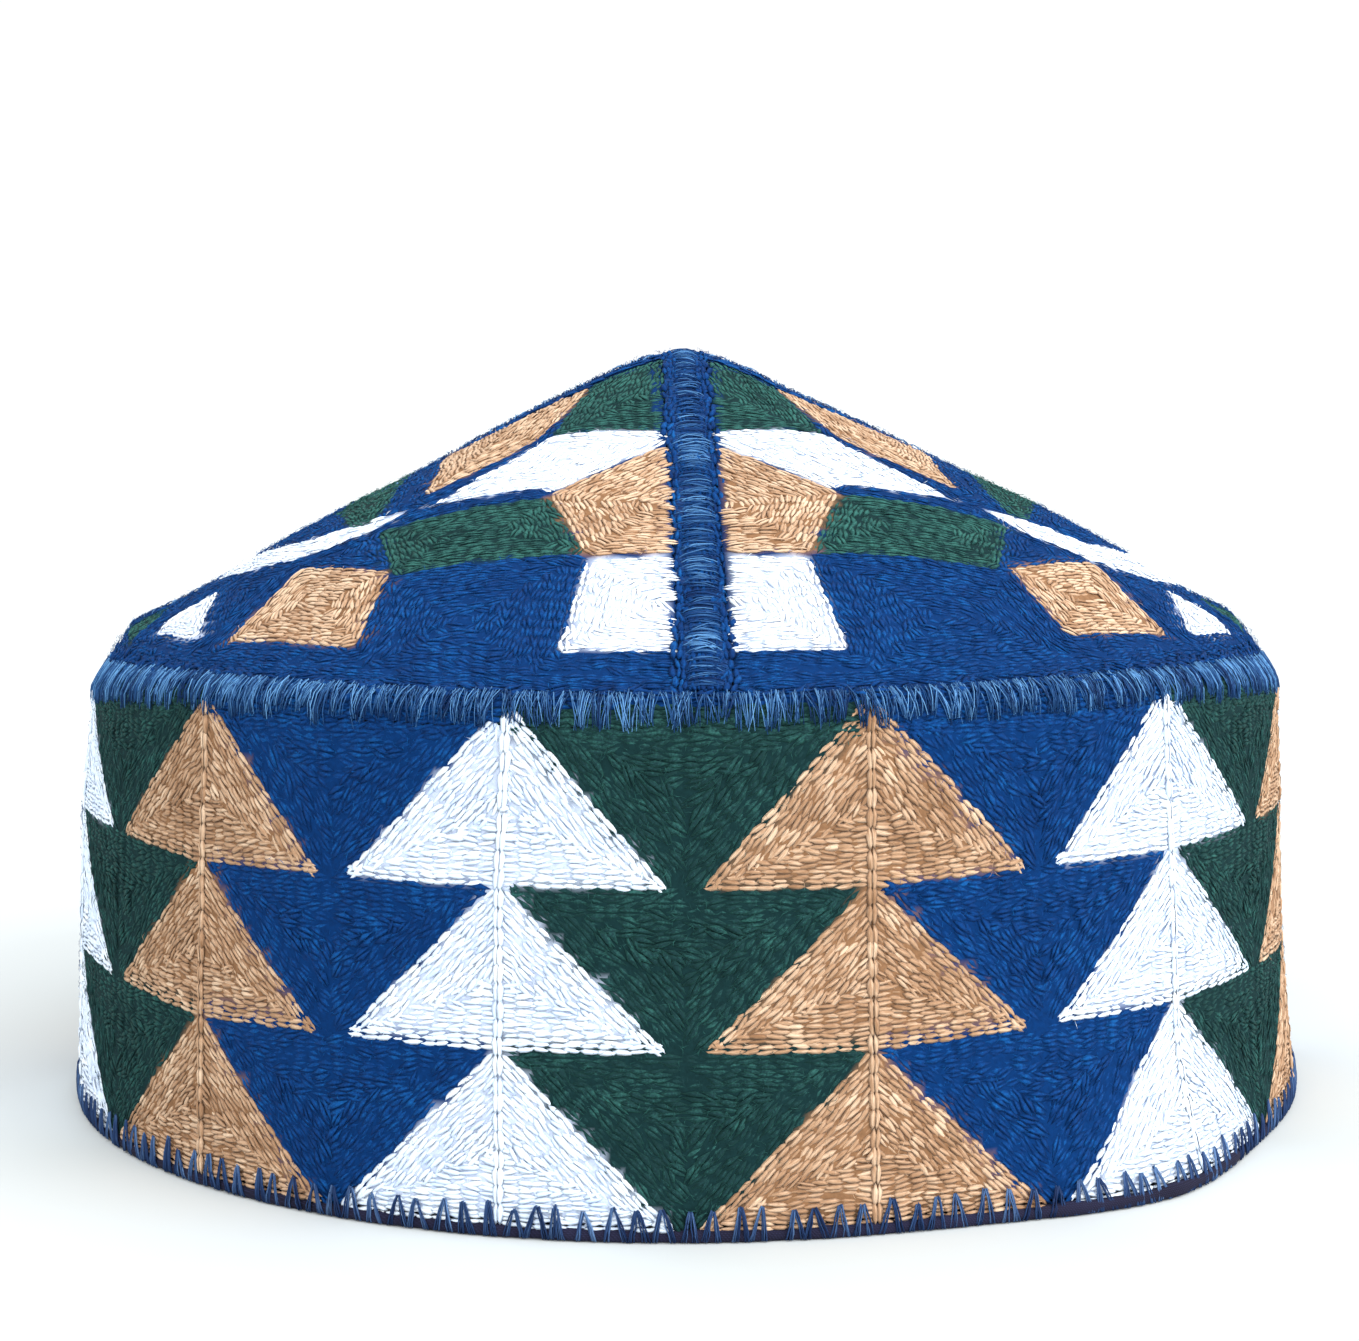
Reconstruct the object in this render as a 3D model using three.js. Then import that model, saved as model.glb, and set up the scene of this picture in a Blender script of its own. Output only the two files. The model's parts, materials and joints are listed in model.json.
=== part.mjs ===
// A round embroidered kufi: an upright side band, a low pointed crown of four
// quarter panels, raised overcast seams between them and a bound hem edge.
// Millimetres, +Z up. The hem rests on z = 0, the axis of the hat is Z, and the
// front of the hat faces -Y. Azimuth is counted in degrees from the front
// towards +X.
import * as THREE from 'three';

// ---- driving dimensions ------------------------------------------------------
const HEM_RADIUS = 92.4;        // outside radius at the very bottom
const BAND_TOP_RADIUS = 89.7;   // outside radius where the crown is sewn on
const BAND_TOP = 63.3;          // height of the top edge of the side band
const HEM_HEIGHT = 2.1;         // height of the dark edge strip under the band
const WALL = 2.4;               // thickness of band and crown, cloth plus wool
const HEM_PROUD = 0.35;         // how far the hem edge stands out of the band
const SEAM_GAP = 0.3;           // clearance between neighbouring pieces
const SEAM_HALF_WIDTH = 3.2;    // half width of a crown seam ridge
const SEAM_RISE = 0.9;          // height of a seam ridge above the crown
const CROWN_TURN = 1.8;         // the crown is sewn on turned by this angle, deg
const CROWN_EDGE = 95.2;        // arc length from the apex where a panel stops
const SIDE_SEAM_START = 5.3;    // arc length where the side seams start
const PANEL_TIP_RADIUS = 5.4;   // distance from the axis where a panel starts
const RING_STEPS = 72;          // facets round the hat
const PANEL_ROWS = 22;          // facets down a crown panel
const PANEL_COLUMNS = 10;       // facets across a crown panel
const RIDGE_ROWS = 22;          // facets down a seam ridge

// Profile of the crown along a seam, from the apex down to the band.
//   r = distance from the axis, z = height
const SEAM_PROFILE = [
  { r: 0.0, z: 109.2 },
  { r: 6.0, z: 107.9 },
  { r: 15.0, z: 104.1 },
  { r: 30.0, z: 96.8 },
  { r: 45.0, z: 89.0 },
  { r: 60.0, z: 81.3 },
  { r: 72.0, z: 75.2 },
  { r: 80.0, z: 71.4 },
  { r: 84.5, z: 68.9 },
  { r: 87.8, z: 66.6 },
  { r: 89.3, z: 64.6 },
  { r: 89.7, z: 63.6 },
];

// How far the middle of a panel stands out between its seams.
//   s = arc length from the apex, out = swelling along the normal
const PANEL_SWELL = [
  { s: 0, out: 0.0 },
  { s: 15, out: 0.1 },
  { s: 33, out: 0.9 },
  { s: 50, out: 2.9 },
  { s: 60, out: 3.7 },
  { s: 72, out: 3.5 },
  { s: 84, out: 1.9 },
  { s: 93, out: 0.5 },
  { s: 103, out: 0.0 },
];

// Small hand-made unevenness of the side band.
//   waves = how many round the hat, size = millimetres in or out, turn = degrees
const BAND_WAVES = [
  { waves: 3, size: 0.25, turn: 40 },
  { waves: 5, size: 0.18, turn: 110 },
];

// Larger unevenness of the side band at one place, full at mid height.
//   out = millimetres, azimuth and spread = where and how wide, degrees
const BAND_DENT = { out: -1.9, azimuth: 88, spread: 28 };

// The hem is pulled outwards at the front right, up to the given height.
const HEM_FLARE = { out: 5.3, azimuth: 40, spread: 13, height: 20 };

// Places where the crown hangs a little lower than its profile.
//   s and width = arc length and reach down the crown, azimuth and spread =
//   degrees, drop = millimetres
const CROWN_SAGS = [
  { s: 60, width: 22, azimuth: 270, spread: 45, drop: 1.0 },
  { s: 18, width: 12, azimuth: 90, spread: 60, drop: 0.5 },
  { s: 86, width: 9, azimuth: 270, spread: 40, drop: 0.8 },
  { s: 86, width: 9, azimuth: 90, spread: 40, drop: 0.8 },
];

// The crown's lower edge and the band's top edge are not level round the hat:
// they hang lower at both sides than at the front and the back.
//   raise = millimetres up at front and back, droop = millimetres down from
//   there at the sides, tuck = millimetres in at the sides, spread = degrees,
//   s and reach = arc length where the crown starts to follow and over which it
//   does so, z = where the band starts
const EDGE_SWAY = { raise: 0.9, droop: 5.4, tuck: 1.0, spread: 30, s: 91.5, reach: 8, z: 44 };

// ---- helpers -----------------------------------------------------------------
const rad = (deg) => (deg * Math.PI) / 180;

// Smooth monotone interpolation through a table of (x, y) rows.
function makeSmooth(xs, ys) {
  const n = xs.length;
  const slope = [];
  for (let i = 0; i < n - 1; i += 1) slope.push((ys[i + 1] - ys[i]) / (xs[i + 1] - xs[i]));
  const tangent = [slope[0]];
  for (let i = 1; i < n - 1; i += 1) {
    const a = slope[i - 1];
    const b = slope[i];
    if (a * b <= 0) {
      tangent.push(0);
    } else {
      const ha = xs[i] - xs[i - 1];
      const hb = xs[i + 1] - xs[i];
      tangent.push((3 * (ha + hb)) / ((2 * hb + ha) / a + (hb + 2 * ha) / b));
    }
  }
  tangent.push(slope[n - 2]);
  return (x) => {
    if (x <= xs[0]) return ys[0];
    if (x >= xs[n - 1]) return ys[n - 1];
    let i = 0;
    while (x > xs[i + 1]) i += 1;
    const h = xs[i + 1] - xs[i];
    const t = (x - xs[i]) / h;
    const t2 = t * t;
    const t3 = t2 * t;
    return (2 * t3 - 3 * t2 + 1) * ys[i] + (t3 - 2 * t2 + t) * h * tangent[i]
      + (3 * t2 - 2 * t3) * ys[i + 1] + (t3 - t2) * h * tangent[i + 1];
  };
}

const arcLength = [0];
for (let i = 1; i < SEAM_PROFILE.length; i += 1) {
  const a = SEAM_PROFILE[i - 1];
  const b = SEAM_PROFILE[i];
  arcLength.push(arcLength[i - 1] + Math.hypot(b.r - a.r, b.z - a.z));
}
const CROWN_LENGTH = arcLength[arcLength.length - 1];
const profileR = makeSmooth(arcLength, SEAM_PROFILE.map((row) => row.r));
const profileZ = makeSmooth(arcLength, SEAM_PROFILE.map((row) => row.z));
const swell = makeSmooth(PANEL_SWELL.map((row) => row.s), PANEL_SWELL.map((row) => row.out));

// Position and outward direction of the seam profile at arc length s.
function profileAt(s) {
  const step = 0.3;
  const a = Math.max(0, s - step);
  const b = Math.min(CROWN_LENGTH, s + step);
  const dr = profileR(b) - profileR(a);
  const dz = profileZ(b) - profileZ(a);
  const len = Math.hypot(dr, dz);
  return { r: profileR(s), z: profileZ(s), nr: s < 0.01 ? 0 : -dz / len, nz: s < 0.01 ? 1 : dr / len };
}

// Bell curve of the angle between two azimuths.
function bell(a, b, spread) {
  const turn = ((a - b + 540) % 360) - 180;
  return Math.exp(-((turn / spread) ** 2));
}

function sag(s, azimuth) {
  let drop = 0;
  CROWN_SAGS.forEach((w) => {
    drop += w.drop * Math.exp(-(((s - w.s) / w.width) ** 2)) * bell(azimuth, w.azimuth, w.spread);
  });
  return drop * Math.min(1, s / 8);
}

const smoothStep = (t) => {
  const c = Math.min(1, Math.max(0, t));
  return c * c * (3 - 2 * c);
};
const atSides = (azimuth) => bell(azimuth, 90, EDGE_SWAY.spread) + bell(azimuth, 270, EDGE_SWAY.spread);
const edgeSway = (azimuth) => EDGE_SWAY.raise - EDGE_SWAY.droop * atSides(azimuth);
const crownPart = (s) => smoothStep((s - EDGE_SWAY.s) / EDGE_SWAY.reach);
const bandPart = (z) => smoothStep((z - EDGE_SWAY.z) / (BAND_TOP - EDGE_SWAY.z));
const crownSway = (s, azimuth) => edgeSway(azimuth) * crownPart(s);
const crownTuck = (s, azimuth) => EDGE_SWAY.tuck * atSides(azimuth) * crownPart(s);
const bandHeight = (z, azimuth) => z + edgeSway(azimuth) * bandPart(z);

// A point of the crown: s = arc length, azimuth in degrees counted from the
// front seam, out = distance along the outward normal.
function crownPoint(s, local, out) {
  const p = profileAt(s);
  const lift = swell(s) * Math.abs(Math.sin(rad(2 * local))) ** 0.8 + out;
  const r = p.r + p.nr * lift - crownTuck(s, local + CROWN_TURN);
  const a = rad(local + CROWN_TURN);
  const z = p.z + p.nz * lift - sag(s, local) + crownSway(s, local + CROWN_TURN);
  return new THREE.Vector3(r * Math.sin(a), -r * Math.cos(a), z);
}

// Closed shell from two grids of points: outer[i][j] and inner[i][j].
function shellFromGrids(outer, inner) {
  const rows = outer.length;
  const cols = outer[0].length;
  const positions = [];
  const index = [];
  const put = (grid) => grid.map((row) => row.map((p) => {
    positions.push(p.x, p.y, p.z);
    return positions.length / 3 - 1;
  }));
  const o = put(outer);
  const n = put(inner);
  const quad = (a, b, c, d) => index.push(a, b, c, a, c, d);
  for (let i = 0; i < rows - 1; i += 1) {
    for (let j = 0; j < cols - 1; j += 1) {
      quad(o[i][j], o[i + 1][j], o[i + 1][j + 1], o[i][j + 1]);
      quad(n[i][j], n[i][j + 1], n[i + 1][j + 1], n[i + 1][j]);
    }
  }
  for (let i = 0; i < rows - 1; i += 1) {
    quad(o[i][0], n[i][0], n[i + 1][0], o[i + 1][0]);
    quad(o[i][cols - 1], o[i + 1][cols - 1], n[i + 1][cols - 1], n[i][cols - 1]);
  }
  for (let j = 0; j < cols - 1; j += 1) {
    quad(o[0][j], o[0][j + 1], n[0][j + 1], n[0][j]);
    quad(o[rows - 1][j], n[rows - 1][j], n[rows - 1][j + 1], o[rows - 1][j + 1]);
  }
  return geometryFrom(positions, index);
}

// Closed ring swept round the axis: section(azimuth) gives the corner points
// of its closed cross-section, in the same order for each azimuth.
function ringFromSections(steps, section) {
  const positions = [];
  const index = [];
  let corners = 0;
  for (let i = 0; i < steps; i += 1) {
    const a = (360 * i) / steps;
    const points = section(a);
    corners = points.length;
    points.forEach((p) => {
      positions.push(p.r * Math.sin(rad(a)), -p.r * Math.cos(rad(a)), p.z);
    });
  }
  for (let i = 0; i < steps; i += 1) {
    const k = (i + 1) % steps;
    for (let j = 0; j < corners; j += 1) {
      const m = (j + 1) % corners;
      const a = i * corners + j;
      const b = k * corners + j;
      const c = k * corners + m;
      const d = i * corners + m;
      index.push(a, b, c, a, c, d);
    }
  }
  return geometryFrom(positions, index);
}

function geometryFrom(positions, index) {
  const geometry = new THREE.BufferGeometry();
  geometry.setAttribute('position', new THREE.Float32BufferAttribute(positions, 3));
  // Faces point out: a negative signed volume means that they all point in.
  let volume = 0;
  const v = (i) => new THREE.Vector3(positions[3 * i], positions[3 * i + 1], positions[3 * i + 2]);
  for (let t = 0; t < index.length; t += 3) {
    volume += v(index[t]).dot(v(index[t + 1]).cross(v(index[t + 2])));
  }
  if (volume < 0) {
    for (let t = 0; t < index.length; t += 3) {
      [index[t + 1], index[t + 2]] = [index[t + 2], index[t + 1]];
    }
  }
  geometry.setIndex(index);
  geometry.computeVertexNormals();
  return geometry;
}

function material(color, roughness) {
  return new THREE.MeshStandardMaterial({ color, roughness, metalness: 0 });
}

const hat = new THREE.Group();
function add(name, geometry, color, roughness = 0.95) {
  const mesh = new THREE.Mesh(geometry, material(color, roughness));
  mesh.name = name;
  hat.add(mesh);
}

// ---- side band and hem edge --------------------------------------------------
const bandRadius = (z, a) => {
  const taper = HEM_RADIUS + (BAND_TOP_RADIUS - HEM_RADIUS) * (z / BAND_TOP);
  const middle = Math.sin(Math.PI * Math.min(1, Math.max(0, z / BAND_TOP)));
  let uneven = 0;
  BAND_WAVES.forEach((w) => { uneven += w.size * Math.sin(rad(w.waves * (a - w.turn))); });
  uneven += BAND_DENT.out * bell(a, BAND_DENT.azimuth, BAND_DENT.spread);
  const low = Math.max(0, 1 - z / HEM_FLARE.height) ** 1.5;
  const flare = HEM_FLARE.out * low * bell(a, HEM_FLARE.azimuth, HEM_FLARE.spread);
  return taper + middle * uneven + flare - EDGE_SWAY.tuck * atSides(a) * bandPart(z);
};

const bandLevels = [HEM_HEIGHT + SEAM_GAP, 6, 12, 20, 32, 46, 54, BAND_TOP];
add('side_band', ringFromSections(RING_STEPS, (a) => [
  ...bandLevels.map((z) => ({ r: bandRadius(z, a), z: bandHeight(z, a) })),
  ...bandLevels.slice().reverse().map((z) => ({ r: bandRadius(z, a) - WALL, z: bandHeight(z, a) })),
]), 0x1b4573);

add('hem_edge', ringFromSections(RING_STEPS, (a) => {
  const r = bandRadius(0, a);
  return [
    { r: r + HEM_PROUD - 0.5, z: 0 },
    { r: r + HEM_PROUD, z: 0.5 },
    { r: r + HEM_PROUD, z: HEM_HEIGHT },
    { r: r - WALL, z: HEM_HEIGHT },
    { r: r - WALL, z: 0 },
  ];
}), 0x23233b);

// ---- overcast seam between crown and band ------------------------------------
//   s = arc length down the crown profile, out = distance along its normal
const EDGE_SEAM_SECTION = [
  { s: CROWN_EDGE + SEAM_GAP, out: 0.1 },
  { s: CROWN_EDGE + 1.8, out: SEAM_RISE * 0.8 },
  { s: CROWN_EDGE + 3.8, out: SEAM_RISE },
  { s: CROWN_LENGTH - 1.2, out: SEAM_RISE * 0.8 },
  { s: CROWN_LENGTH, out: 0.1 },
  { s: CROWN_LENGTH, out: -WALL },
  { s: CROWN_EDGE + 3.6, out: -WALL },
  { s: CROWN_EDGE + SEAM_GAP, out: -WALL },
];
add('crown_band_seam', ringFromSections(RING_STEPS, (a) => EDGE_SEAM_SECTION.map((row) => {
  const p = profileAt(row.s);
  const z = Math.max(BAND_TOP + SEAM_GAP, p.z + p.nz * row.out);
  return { r: p.r + p.nr * row.out - crownTuck(row.s, a), z: z + crownSway(row.s, a) };
})), 0x4a6b96);

// ---- the four crown panels ---------------------------------------------------
const panelClear = SEAM_HALF_WIDTH + SEAM_GAP;

// Distance from the axis of the crown's layer at the given depth.
const layerRadius = (s, out) => {
  const p = profileAt(s);
  return p.r + p.nr * out;
};

// Arc length where that layer comes out from under the crossing seam ridges.
function panelStart(out) {
  let low = 1;
  let high = 20;
  for (let i = 0; i < 40; i += 1) {
    const middle = (low + high) / 2;
    if (layerRadius(middle, out) < PANEL_TIP_RADIUS) low = middle;
    else high = middle;
  }
  return high;
}

function panelGeometry(firstSeam) {
  const grid = (out) => {
    const start = panelStart(out);
    const rows = [];
    for (let i = 0; i <= PANEL_ROWS; i += 1) {
      const s = start + (CROWN_EDGE - start) * (i / PANEL_ROWS);
      // azimuth at which the panel clears the seam ridge beside it
      const edge = (Math.asin(panelClear / layerRadius(s, out)) * 180) / Math.PI;
      const row = [];
      for (let j = 0; j <= PANEL_COLUMNS; j += 1) {
        const local = edge + (90 - 2 * edge) * (j / PANEL_COLUMNS);
        row.push(crownPoint(s, firstSeam + local, out));
      }
      rows.push(row);
    }
    return rows;
  };
  return shellFromGrids(grid(0), grid(-WALL));
}

//   name, seam = azimuth of the panel's first seam from the front seam
const PANELS = [
  { name: 'crown_panel_front_right', seam: 0 },
  { name: 'crown_panel_back_right', seam: 90 },
  { name: 'crown_panel_back_left', seam: 180 },
  { name: 'crown_panel_front_left', seam: 270 },
];
PANELS.forEach((row) => add(row.name, panelGeometry(row.seam), 0x164878));

// ---- seam ridges of the crown ------------------------------------------------
//   across = distance from the seam's middle, out = distance along the normal
const RIDGE_SECTION = [
  { across: -SEAM_HALF_WIDTH, out: 0.0 },
  { across: -1.9, out: SEAM_RISE * 0.85 },
  { across: 0, out: SEAM_RISE },
  { across: 1.9, out: SEAM_RISE * 0.85 },
  { across: SEAM_HALF_WIDTH, out: 0.0 },
  { across: SEAM_HALF_WIDTH, out: -WALL },
  { across: 0, out: -WALL },
  { across: -SEAM_HALF_WIDTH, out: -WALL },
];

// A ridge along stations of signed arc length in the vertical plane of the
// seam at the given azimuth: negative stations lie beyond the apex.
function ridgeGeometry(azimuth, stations) {
  const turn = rad(azimuth + CROWN_TURN);
  const along = new THREE.Vector3(Math.sin(turn), -Math.cos(turn), 0);
  const side = new THREE.Vector3(Math.cos(turn), Math.sin(turn), 0);
  const positions = [];
  const index = [];
  const n = RIDGE_SECTION.length;
  stations.forEach((station) => {
    const p = profileAt(Math.abs(station));
    const way = station < 0 ? -1 : 1;
    const facing = station < 0 ? azimuth + 180 : azimuth;
    const low = sag(Math.abs(station), facing) - crownSway(Math.abs(station), facing + CROWN_TURN);
    const tuck = crownTuck(Math.abs(station), facing + CROWN_TURN);
    RIDGE_SECTION.forEach((row) => {
      // the crown falls away from the seam's middle as it does round a cone
      const drop = (row.across * row.across * p.r) / (2 * (p.r * p.r + 25));
      const r = way * (p.r - drop + p.nr * row.out - tuck);
      const q = along.clone().multiplyScalar(r).addScaledVector(side, row.across);
      positions.push(q.x, q.y, p.z + p.nz * row.out - low);
    });
  });
  for (let i = 0; i < stations.length - 1; i += 1) {
    for (let j = 0; j < n; j += 1) {
      const m = (j + 1) % n;
      const a = i * n + j;
      const b = (i + 1) * n + j;
      const c = (i + 1) * n + m;
      const d = i * n + m;
      index.push(a, b, c, a, c, d);
    }
  }
  const last = (stations.length - 1) * n;
  for (let j = 1; j < n - 1; j += 1) {
    index.push(0, j, j + 1);
    index.push(last, last + j + 1, last + j);
  }
  return geometryFrom(positions, index);
}

const stationsBetween = (from, to, count) => {
  const list = [];
  for (let i = 0; i <= count; i += 1) list.push(from + (to - from) * (i / count));
  return list;
};
add('crown_seam_front_back', ridgeGeometry(0, stationsBetween(-CROWN_EDGE, CROWN_EDGE, 2 * RIDGE_ROWS)), 0x1c3a66);
add('crown_seam_right', ridgeGeometry(90, stationsBetween(SIDE_SEAM_START, CROWN_EDGE, RIDGE_ROWS)), 0x1c3a66);
add('crown_seam_left', ridgeGeometry(270, stationsBetween(SIDE_SEAM_START, CROWN_EDGE, RIDGE_ROWS)), 0x1c3a66);

export default hat;
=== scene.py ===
# A round embroidered kufi, standing on its hem: chain-stitched side band and
# crown, overcast seams and a stitched hem. All sizes below are millimetres and
# go to metres when a mesh is made. Azimuth is counted from the front (-Y)
# towards +X.
import json
import math

import bpy
import numpy as np
from mathutils import Matrix, Vector

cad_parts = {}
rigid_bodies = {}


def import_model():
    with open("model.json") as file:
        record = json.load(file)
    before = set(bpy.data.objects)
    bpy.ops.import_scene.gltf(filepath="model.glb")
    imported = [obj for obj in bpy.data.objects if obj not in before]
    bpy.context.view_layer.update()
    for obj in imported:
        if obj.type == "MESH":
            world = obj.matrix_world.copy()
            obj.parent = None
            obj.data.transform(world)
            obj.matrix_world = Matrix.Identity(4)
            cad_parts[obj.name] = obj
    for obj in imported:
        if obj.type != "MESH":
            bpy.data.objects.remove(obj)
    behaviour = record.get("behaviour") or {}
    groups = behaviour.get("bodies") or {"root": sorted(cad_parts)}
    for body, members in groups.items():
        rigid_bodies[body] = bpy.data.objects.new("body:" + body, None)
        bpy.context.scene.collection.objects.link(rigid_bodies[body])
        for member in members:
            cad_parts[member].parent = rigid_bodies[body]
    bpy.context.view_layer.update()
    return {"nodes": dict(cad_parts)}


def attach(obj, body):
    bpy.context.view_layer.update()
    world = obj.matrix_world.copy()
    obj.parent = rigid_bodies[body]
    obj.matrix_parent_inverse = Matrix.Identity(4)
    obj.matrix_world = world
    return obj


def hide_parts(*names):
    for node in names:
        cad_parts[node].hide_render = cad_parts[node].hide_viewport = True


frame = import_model()

# ---- sizes that the pieces share with the solid model ---------------------------
HEM_RADIUS = 92.4
BAND_TOP_RADIUS = 89.7
BAND_TOP = 63.3
HEM_HEIGHT = 2.1
WALL = 2.4
SEAM_GAP = 0.3
SEAM_HALF = 3.2
SEAM_RISE = 0.9
CROWN_TURN = 1.8
CROWN_EDGE = 95.2
SIDE_SEAM_START = 5.3
# r, z of the crown along a seam, from the apex to the band
SEAM_PROFILE = [
    (0.0, 109.2), (6.0, 107.9), (15.0, 104.1), (30.0, 96.8), (45.0, 89.0), (60.0, 81.3),
    (72.0, 75.2), (80.0, 71.4), (84.5, 68.9), (87.8, 66.6), (89.3, 64.6), (89.7, 63.6),
]
# arc length, swelling of the middle of a panel
PANEL_SWELL = [(0, 0.0), (15, 0.1), (33, 0.9), (50, 2.9), (60, 3.7), (72, 3.5), (84, 1.9), (93, 0.5), (103, 0.0)]
# waves round the hat, size, turn
BAND_WAVES = [(3, 0.25, 40), (5, 0.18, 110)]
# out, azimuth, spread of the larger unevenness of the band
BAND_DENT = (-1.9, 88, 28)
# out, azimuth, spread, height: the hem is pulled outwards at the front right
HEM_FLARE = (5.3, 40, 13, 20)
# arc length, its width, azimuth, its spread, drop: places where the crown hangs lower
CROWN_SAGS = [(60, 22, 270, 45, 1.0), (18, 12, 90, 60, 0.5), (86, 9, 270, 40, 0.8), (86, 9, 90, 40, 0.8)]

# The crown's lower edge and the band's top edge hang lower at both sides than at the
# front and the back, and lie a little further in there.
EDGE_SWAY = dict(up=0.9, droop=5.4, tuck=1.0, spread=30, s=91.5, reach=8, z=44)

# ---- the needlework --------------------------------------------------------------
ROW = 1.2            # distance between rows of chain stitch
PITCH = 2.1          # length of a chain stitch
CROWN_ROW = 1.15     # the same on the crown
CROWN_PITCH = 2.0
COLUMNS = 24         # half repeats round the band: trees on odd ones, valleys on even ones
TIERS = [1.5, 23.8, 44.4, 64.3]   # heights of the triangles' base lines
VALLEY_GAP = 1.9     # from a valley's middle to the corner of a tree
TREE = {1: "tan", 3: "white"}     # by column number modulo 4
VALLEY = {0: "green", 2: "blue"}
# hand shifts of the columns near the front: column -> (sideways, up) in mm at the
# four tier lines, from the hem up
HAND_SHIFT = {
    -4: [(0.1, 0.0), (0.1, 0.3), (0.1, 0.3), (0.1, 0.0)],
    -3: [(0.6, 0.0), (0.3, -0.9), (0.3, -0.9), (0.6, 0.0)],
    -2: [(0.2, 0.0), (0.2, 0.1), (0.2, 0.1), (0.2, 0.0)],
    -1: [(0.1, 0.0), (0.1, 0.0), (0.1, 0.0), (1.1, 0.6)],
    0: [(-0.2, 0.0), (-0.2, 0.0), (-0.2, 0.0), (-0.2, 0.0)],
    1: [(-0.3, 0.0), (-0.3, -0.4), (-0.3, -0.4), (-0.3, 1.2)],
    2: [(-0.1, 0.0), (-0.1, 0.5), (-0.1, 0.5), (-0.2, 0.0)],
    3: [(0.5, 0.0), (0.3, 0.2), (0.1, 0.1), (-0.4, 0.6)],
    4: [(0.3, 0.0), (0.3, 0.6), (0.3, 0.6), (0.3, 0.0)],
}

# Patches of a crown panel, in the flat: x across from the panel's middle line
# towards the side seam, y down from the apex. outline holds the worked edges;
# cap, where there is one, closes the patch beyond a seam without a worked edge.
PATCHES = [
    dict(name="apex", colour="green",
         outline=[(-16.4, 24.0), (-1.7, 31.6), (3.6, 19.0), (8.2, 9.8)], cap=[(6, -8), (-14, -8), (-26, 8)]),
    dict(name="front_wing", colour="white",
         outline=[(-16.6, 24.4), (-1.7, 32.2), (-1.8, 40.0), (-0.8, 56.4), (-13.0, 46.9), (-15.0, 48.0), (-18.2, 26.8)], cap=[]),
    dict(name="front_shield", colour="tan",
         outline=[(-18.6, 27.2), (-15.4, 48.4), (-30.0, 58.5), (-36.8, 51.4)], cap=[]),
    dict(name="front_stem", colour="white",
         outline=[(-37.4, 52.2), (-30.8, 59.6), (-40.8, 77.7), (-52.2, 69.4)], cap=[]),
    dict(name="front_bar", colour="green",
         outline=[(-15.6, 49.0), (2.0, 64.0), (-9.9, 73.5), (-29.8, 58.8)], cap=None),
    dict(name="side_wing", colour="tan",
         outline=[(8.6, 10.4), (4.0, 19.2), (0.0, 32.3), (0.6, 40.0), (3.4, 53.2), (9.2, 44.4), (23.5, 30.5)], cap=[]),
    dict(name="side_bar", colour="green",
         outline=[(28.5, 35.5), (20.6, 41.0), (8.9, 54.5), (5.9, 61.0), (9.1, 62.3), (18.7, 56.0), (36.0, 45.5)], cap=[]),
    dict(name="side_arch", colour="white",
         outline=[(47.0, 57.5), (30.0, 67.3), (15.8, 68.4), (12.0, 65.6), (8.6, 63.4), (5.4, 61.6), (1.6, 58.3),
                  (3.6, 66.3), (9.0, 72.0), (13.5, 74.7), (25.0, 75.8), (38.0, 72.3), (52.0, 63.8)], cap=[]),
    dict(name="diamond", colour="tan",
         outline=[(-7.8, 73.7), (10.8, 74.0), (9.4, 89.9), (-10.2, 87.5)], cap=None),
    dict(name="side_tooth", colour="white",
         outline=[(26.0, 77.8), (32.5, 82.5), (30.2, 87.6), (15.0, 90.0)], cap=None),
    dict(name="side_foot", colour="green",
         outline=[(54.5, 66.5), (41.2, 77.0), (39.2, 85.0), (59.3, 72.0)], cap=[]),
]

# On the front left panel these lie a little differently.
LEFT_OUTLINES = {
    "diamond": [(-8.2, 72.6), (8.9, 73.5), (8.6, 89.3), (-15.0, 87.7)],
    "side_tooth": [(27.2, 75.1), (33.7, 79.8), (31.4, 84.9), (16.0, 88.8)],
    "side_arch": [(45.0, 52.8), (29.0, 62.8), (15.8, 64.4), (12.0, 62.4), (8.6, 61.0), (5.4, 59.4), (1.6, 56.4),
                  (3.6, 63.4), (9.0, 68.2), (13.5, 70.6), (25.0, 71.2), (37.0, 67.8), (50.0, 59.4)],
}

# Panels of the crown: where the seam with the shield motif lies, and which way
# round the hat the panel runs from it.
PANELS = [
    dict(node="crown_panel_front_right", base=0, way=1),
    dict(node="crown_panel_front_left", base=0, way=-1),
    dict(node="crown_panel_back_right", base=180, way=-1),
    dict(node="crown_panel_back_left", base=180, way=1),
]
HALF_FLAT = 39.5     # half the angle of a panel laid flat, degrees
FLAT_RATIO = 2 * HALF_FLAT / 90

RNG = np.random.default_rng(7)


# ---- surfaces ---------------------------------------------------------------------
def smooth_table(rows):
    """Monotone smooth interpolation through rows of (x, y)."""
    xs = np.array([r[0] for r in rows], float)
    ys = np.array([r[1] for r in rows], float)
    h = np.diff(xs)
    slope = np.diff(ys) / h
    tan = np.zeros(len(xs))
    tan[0], tan[-1] = slope[0], slope[-1]
    for i in range(1, len(xs) - 1):
        a, b = slope[i - 1], slope[i]
        if a * b > 0:
            tan[i] = 3 * (h[i - 1] + h[i]) / ((2 * h[i] + h[i - 1]) / a + (h[i] + 2 * h[i - 1]) / b)

    def value(x):
        x = np.clip(np.asarray(x, float), xs[0], xs[-1])
        i = np.clip(np.searchsorted(xs, x, side="right") - 1, 0, len(xs) - 2)
        t = (x - xs[i]) / h[i]
        t2, t3 = t * t, t * t * t
        return ((2 * t3 - 3 * t2 + 1) * ys[i] + (t3 - 2 * t2 + t) * h[i] * tan[i]
                + (3 * t2 - 2 * t3) * ys[i + 1] + (t3 - t2) * h[i] * tan[i + 1])
    return value


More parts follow.
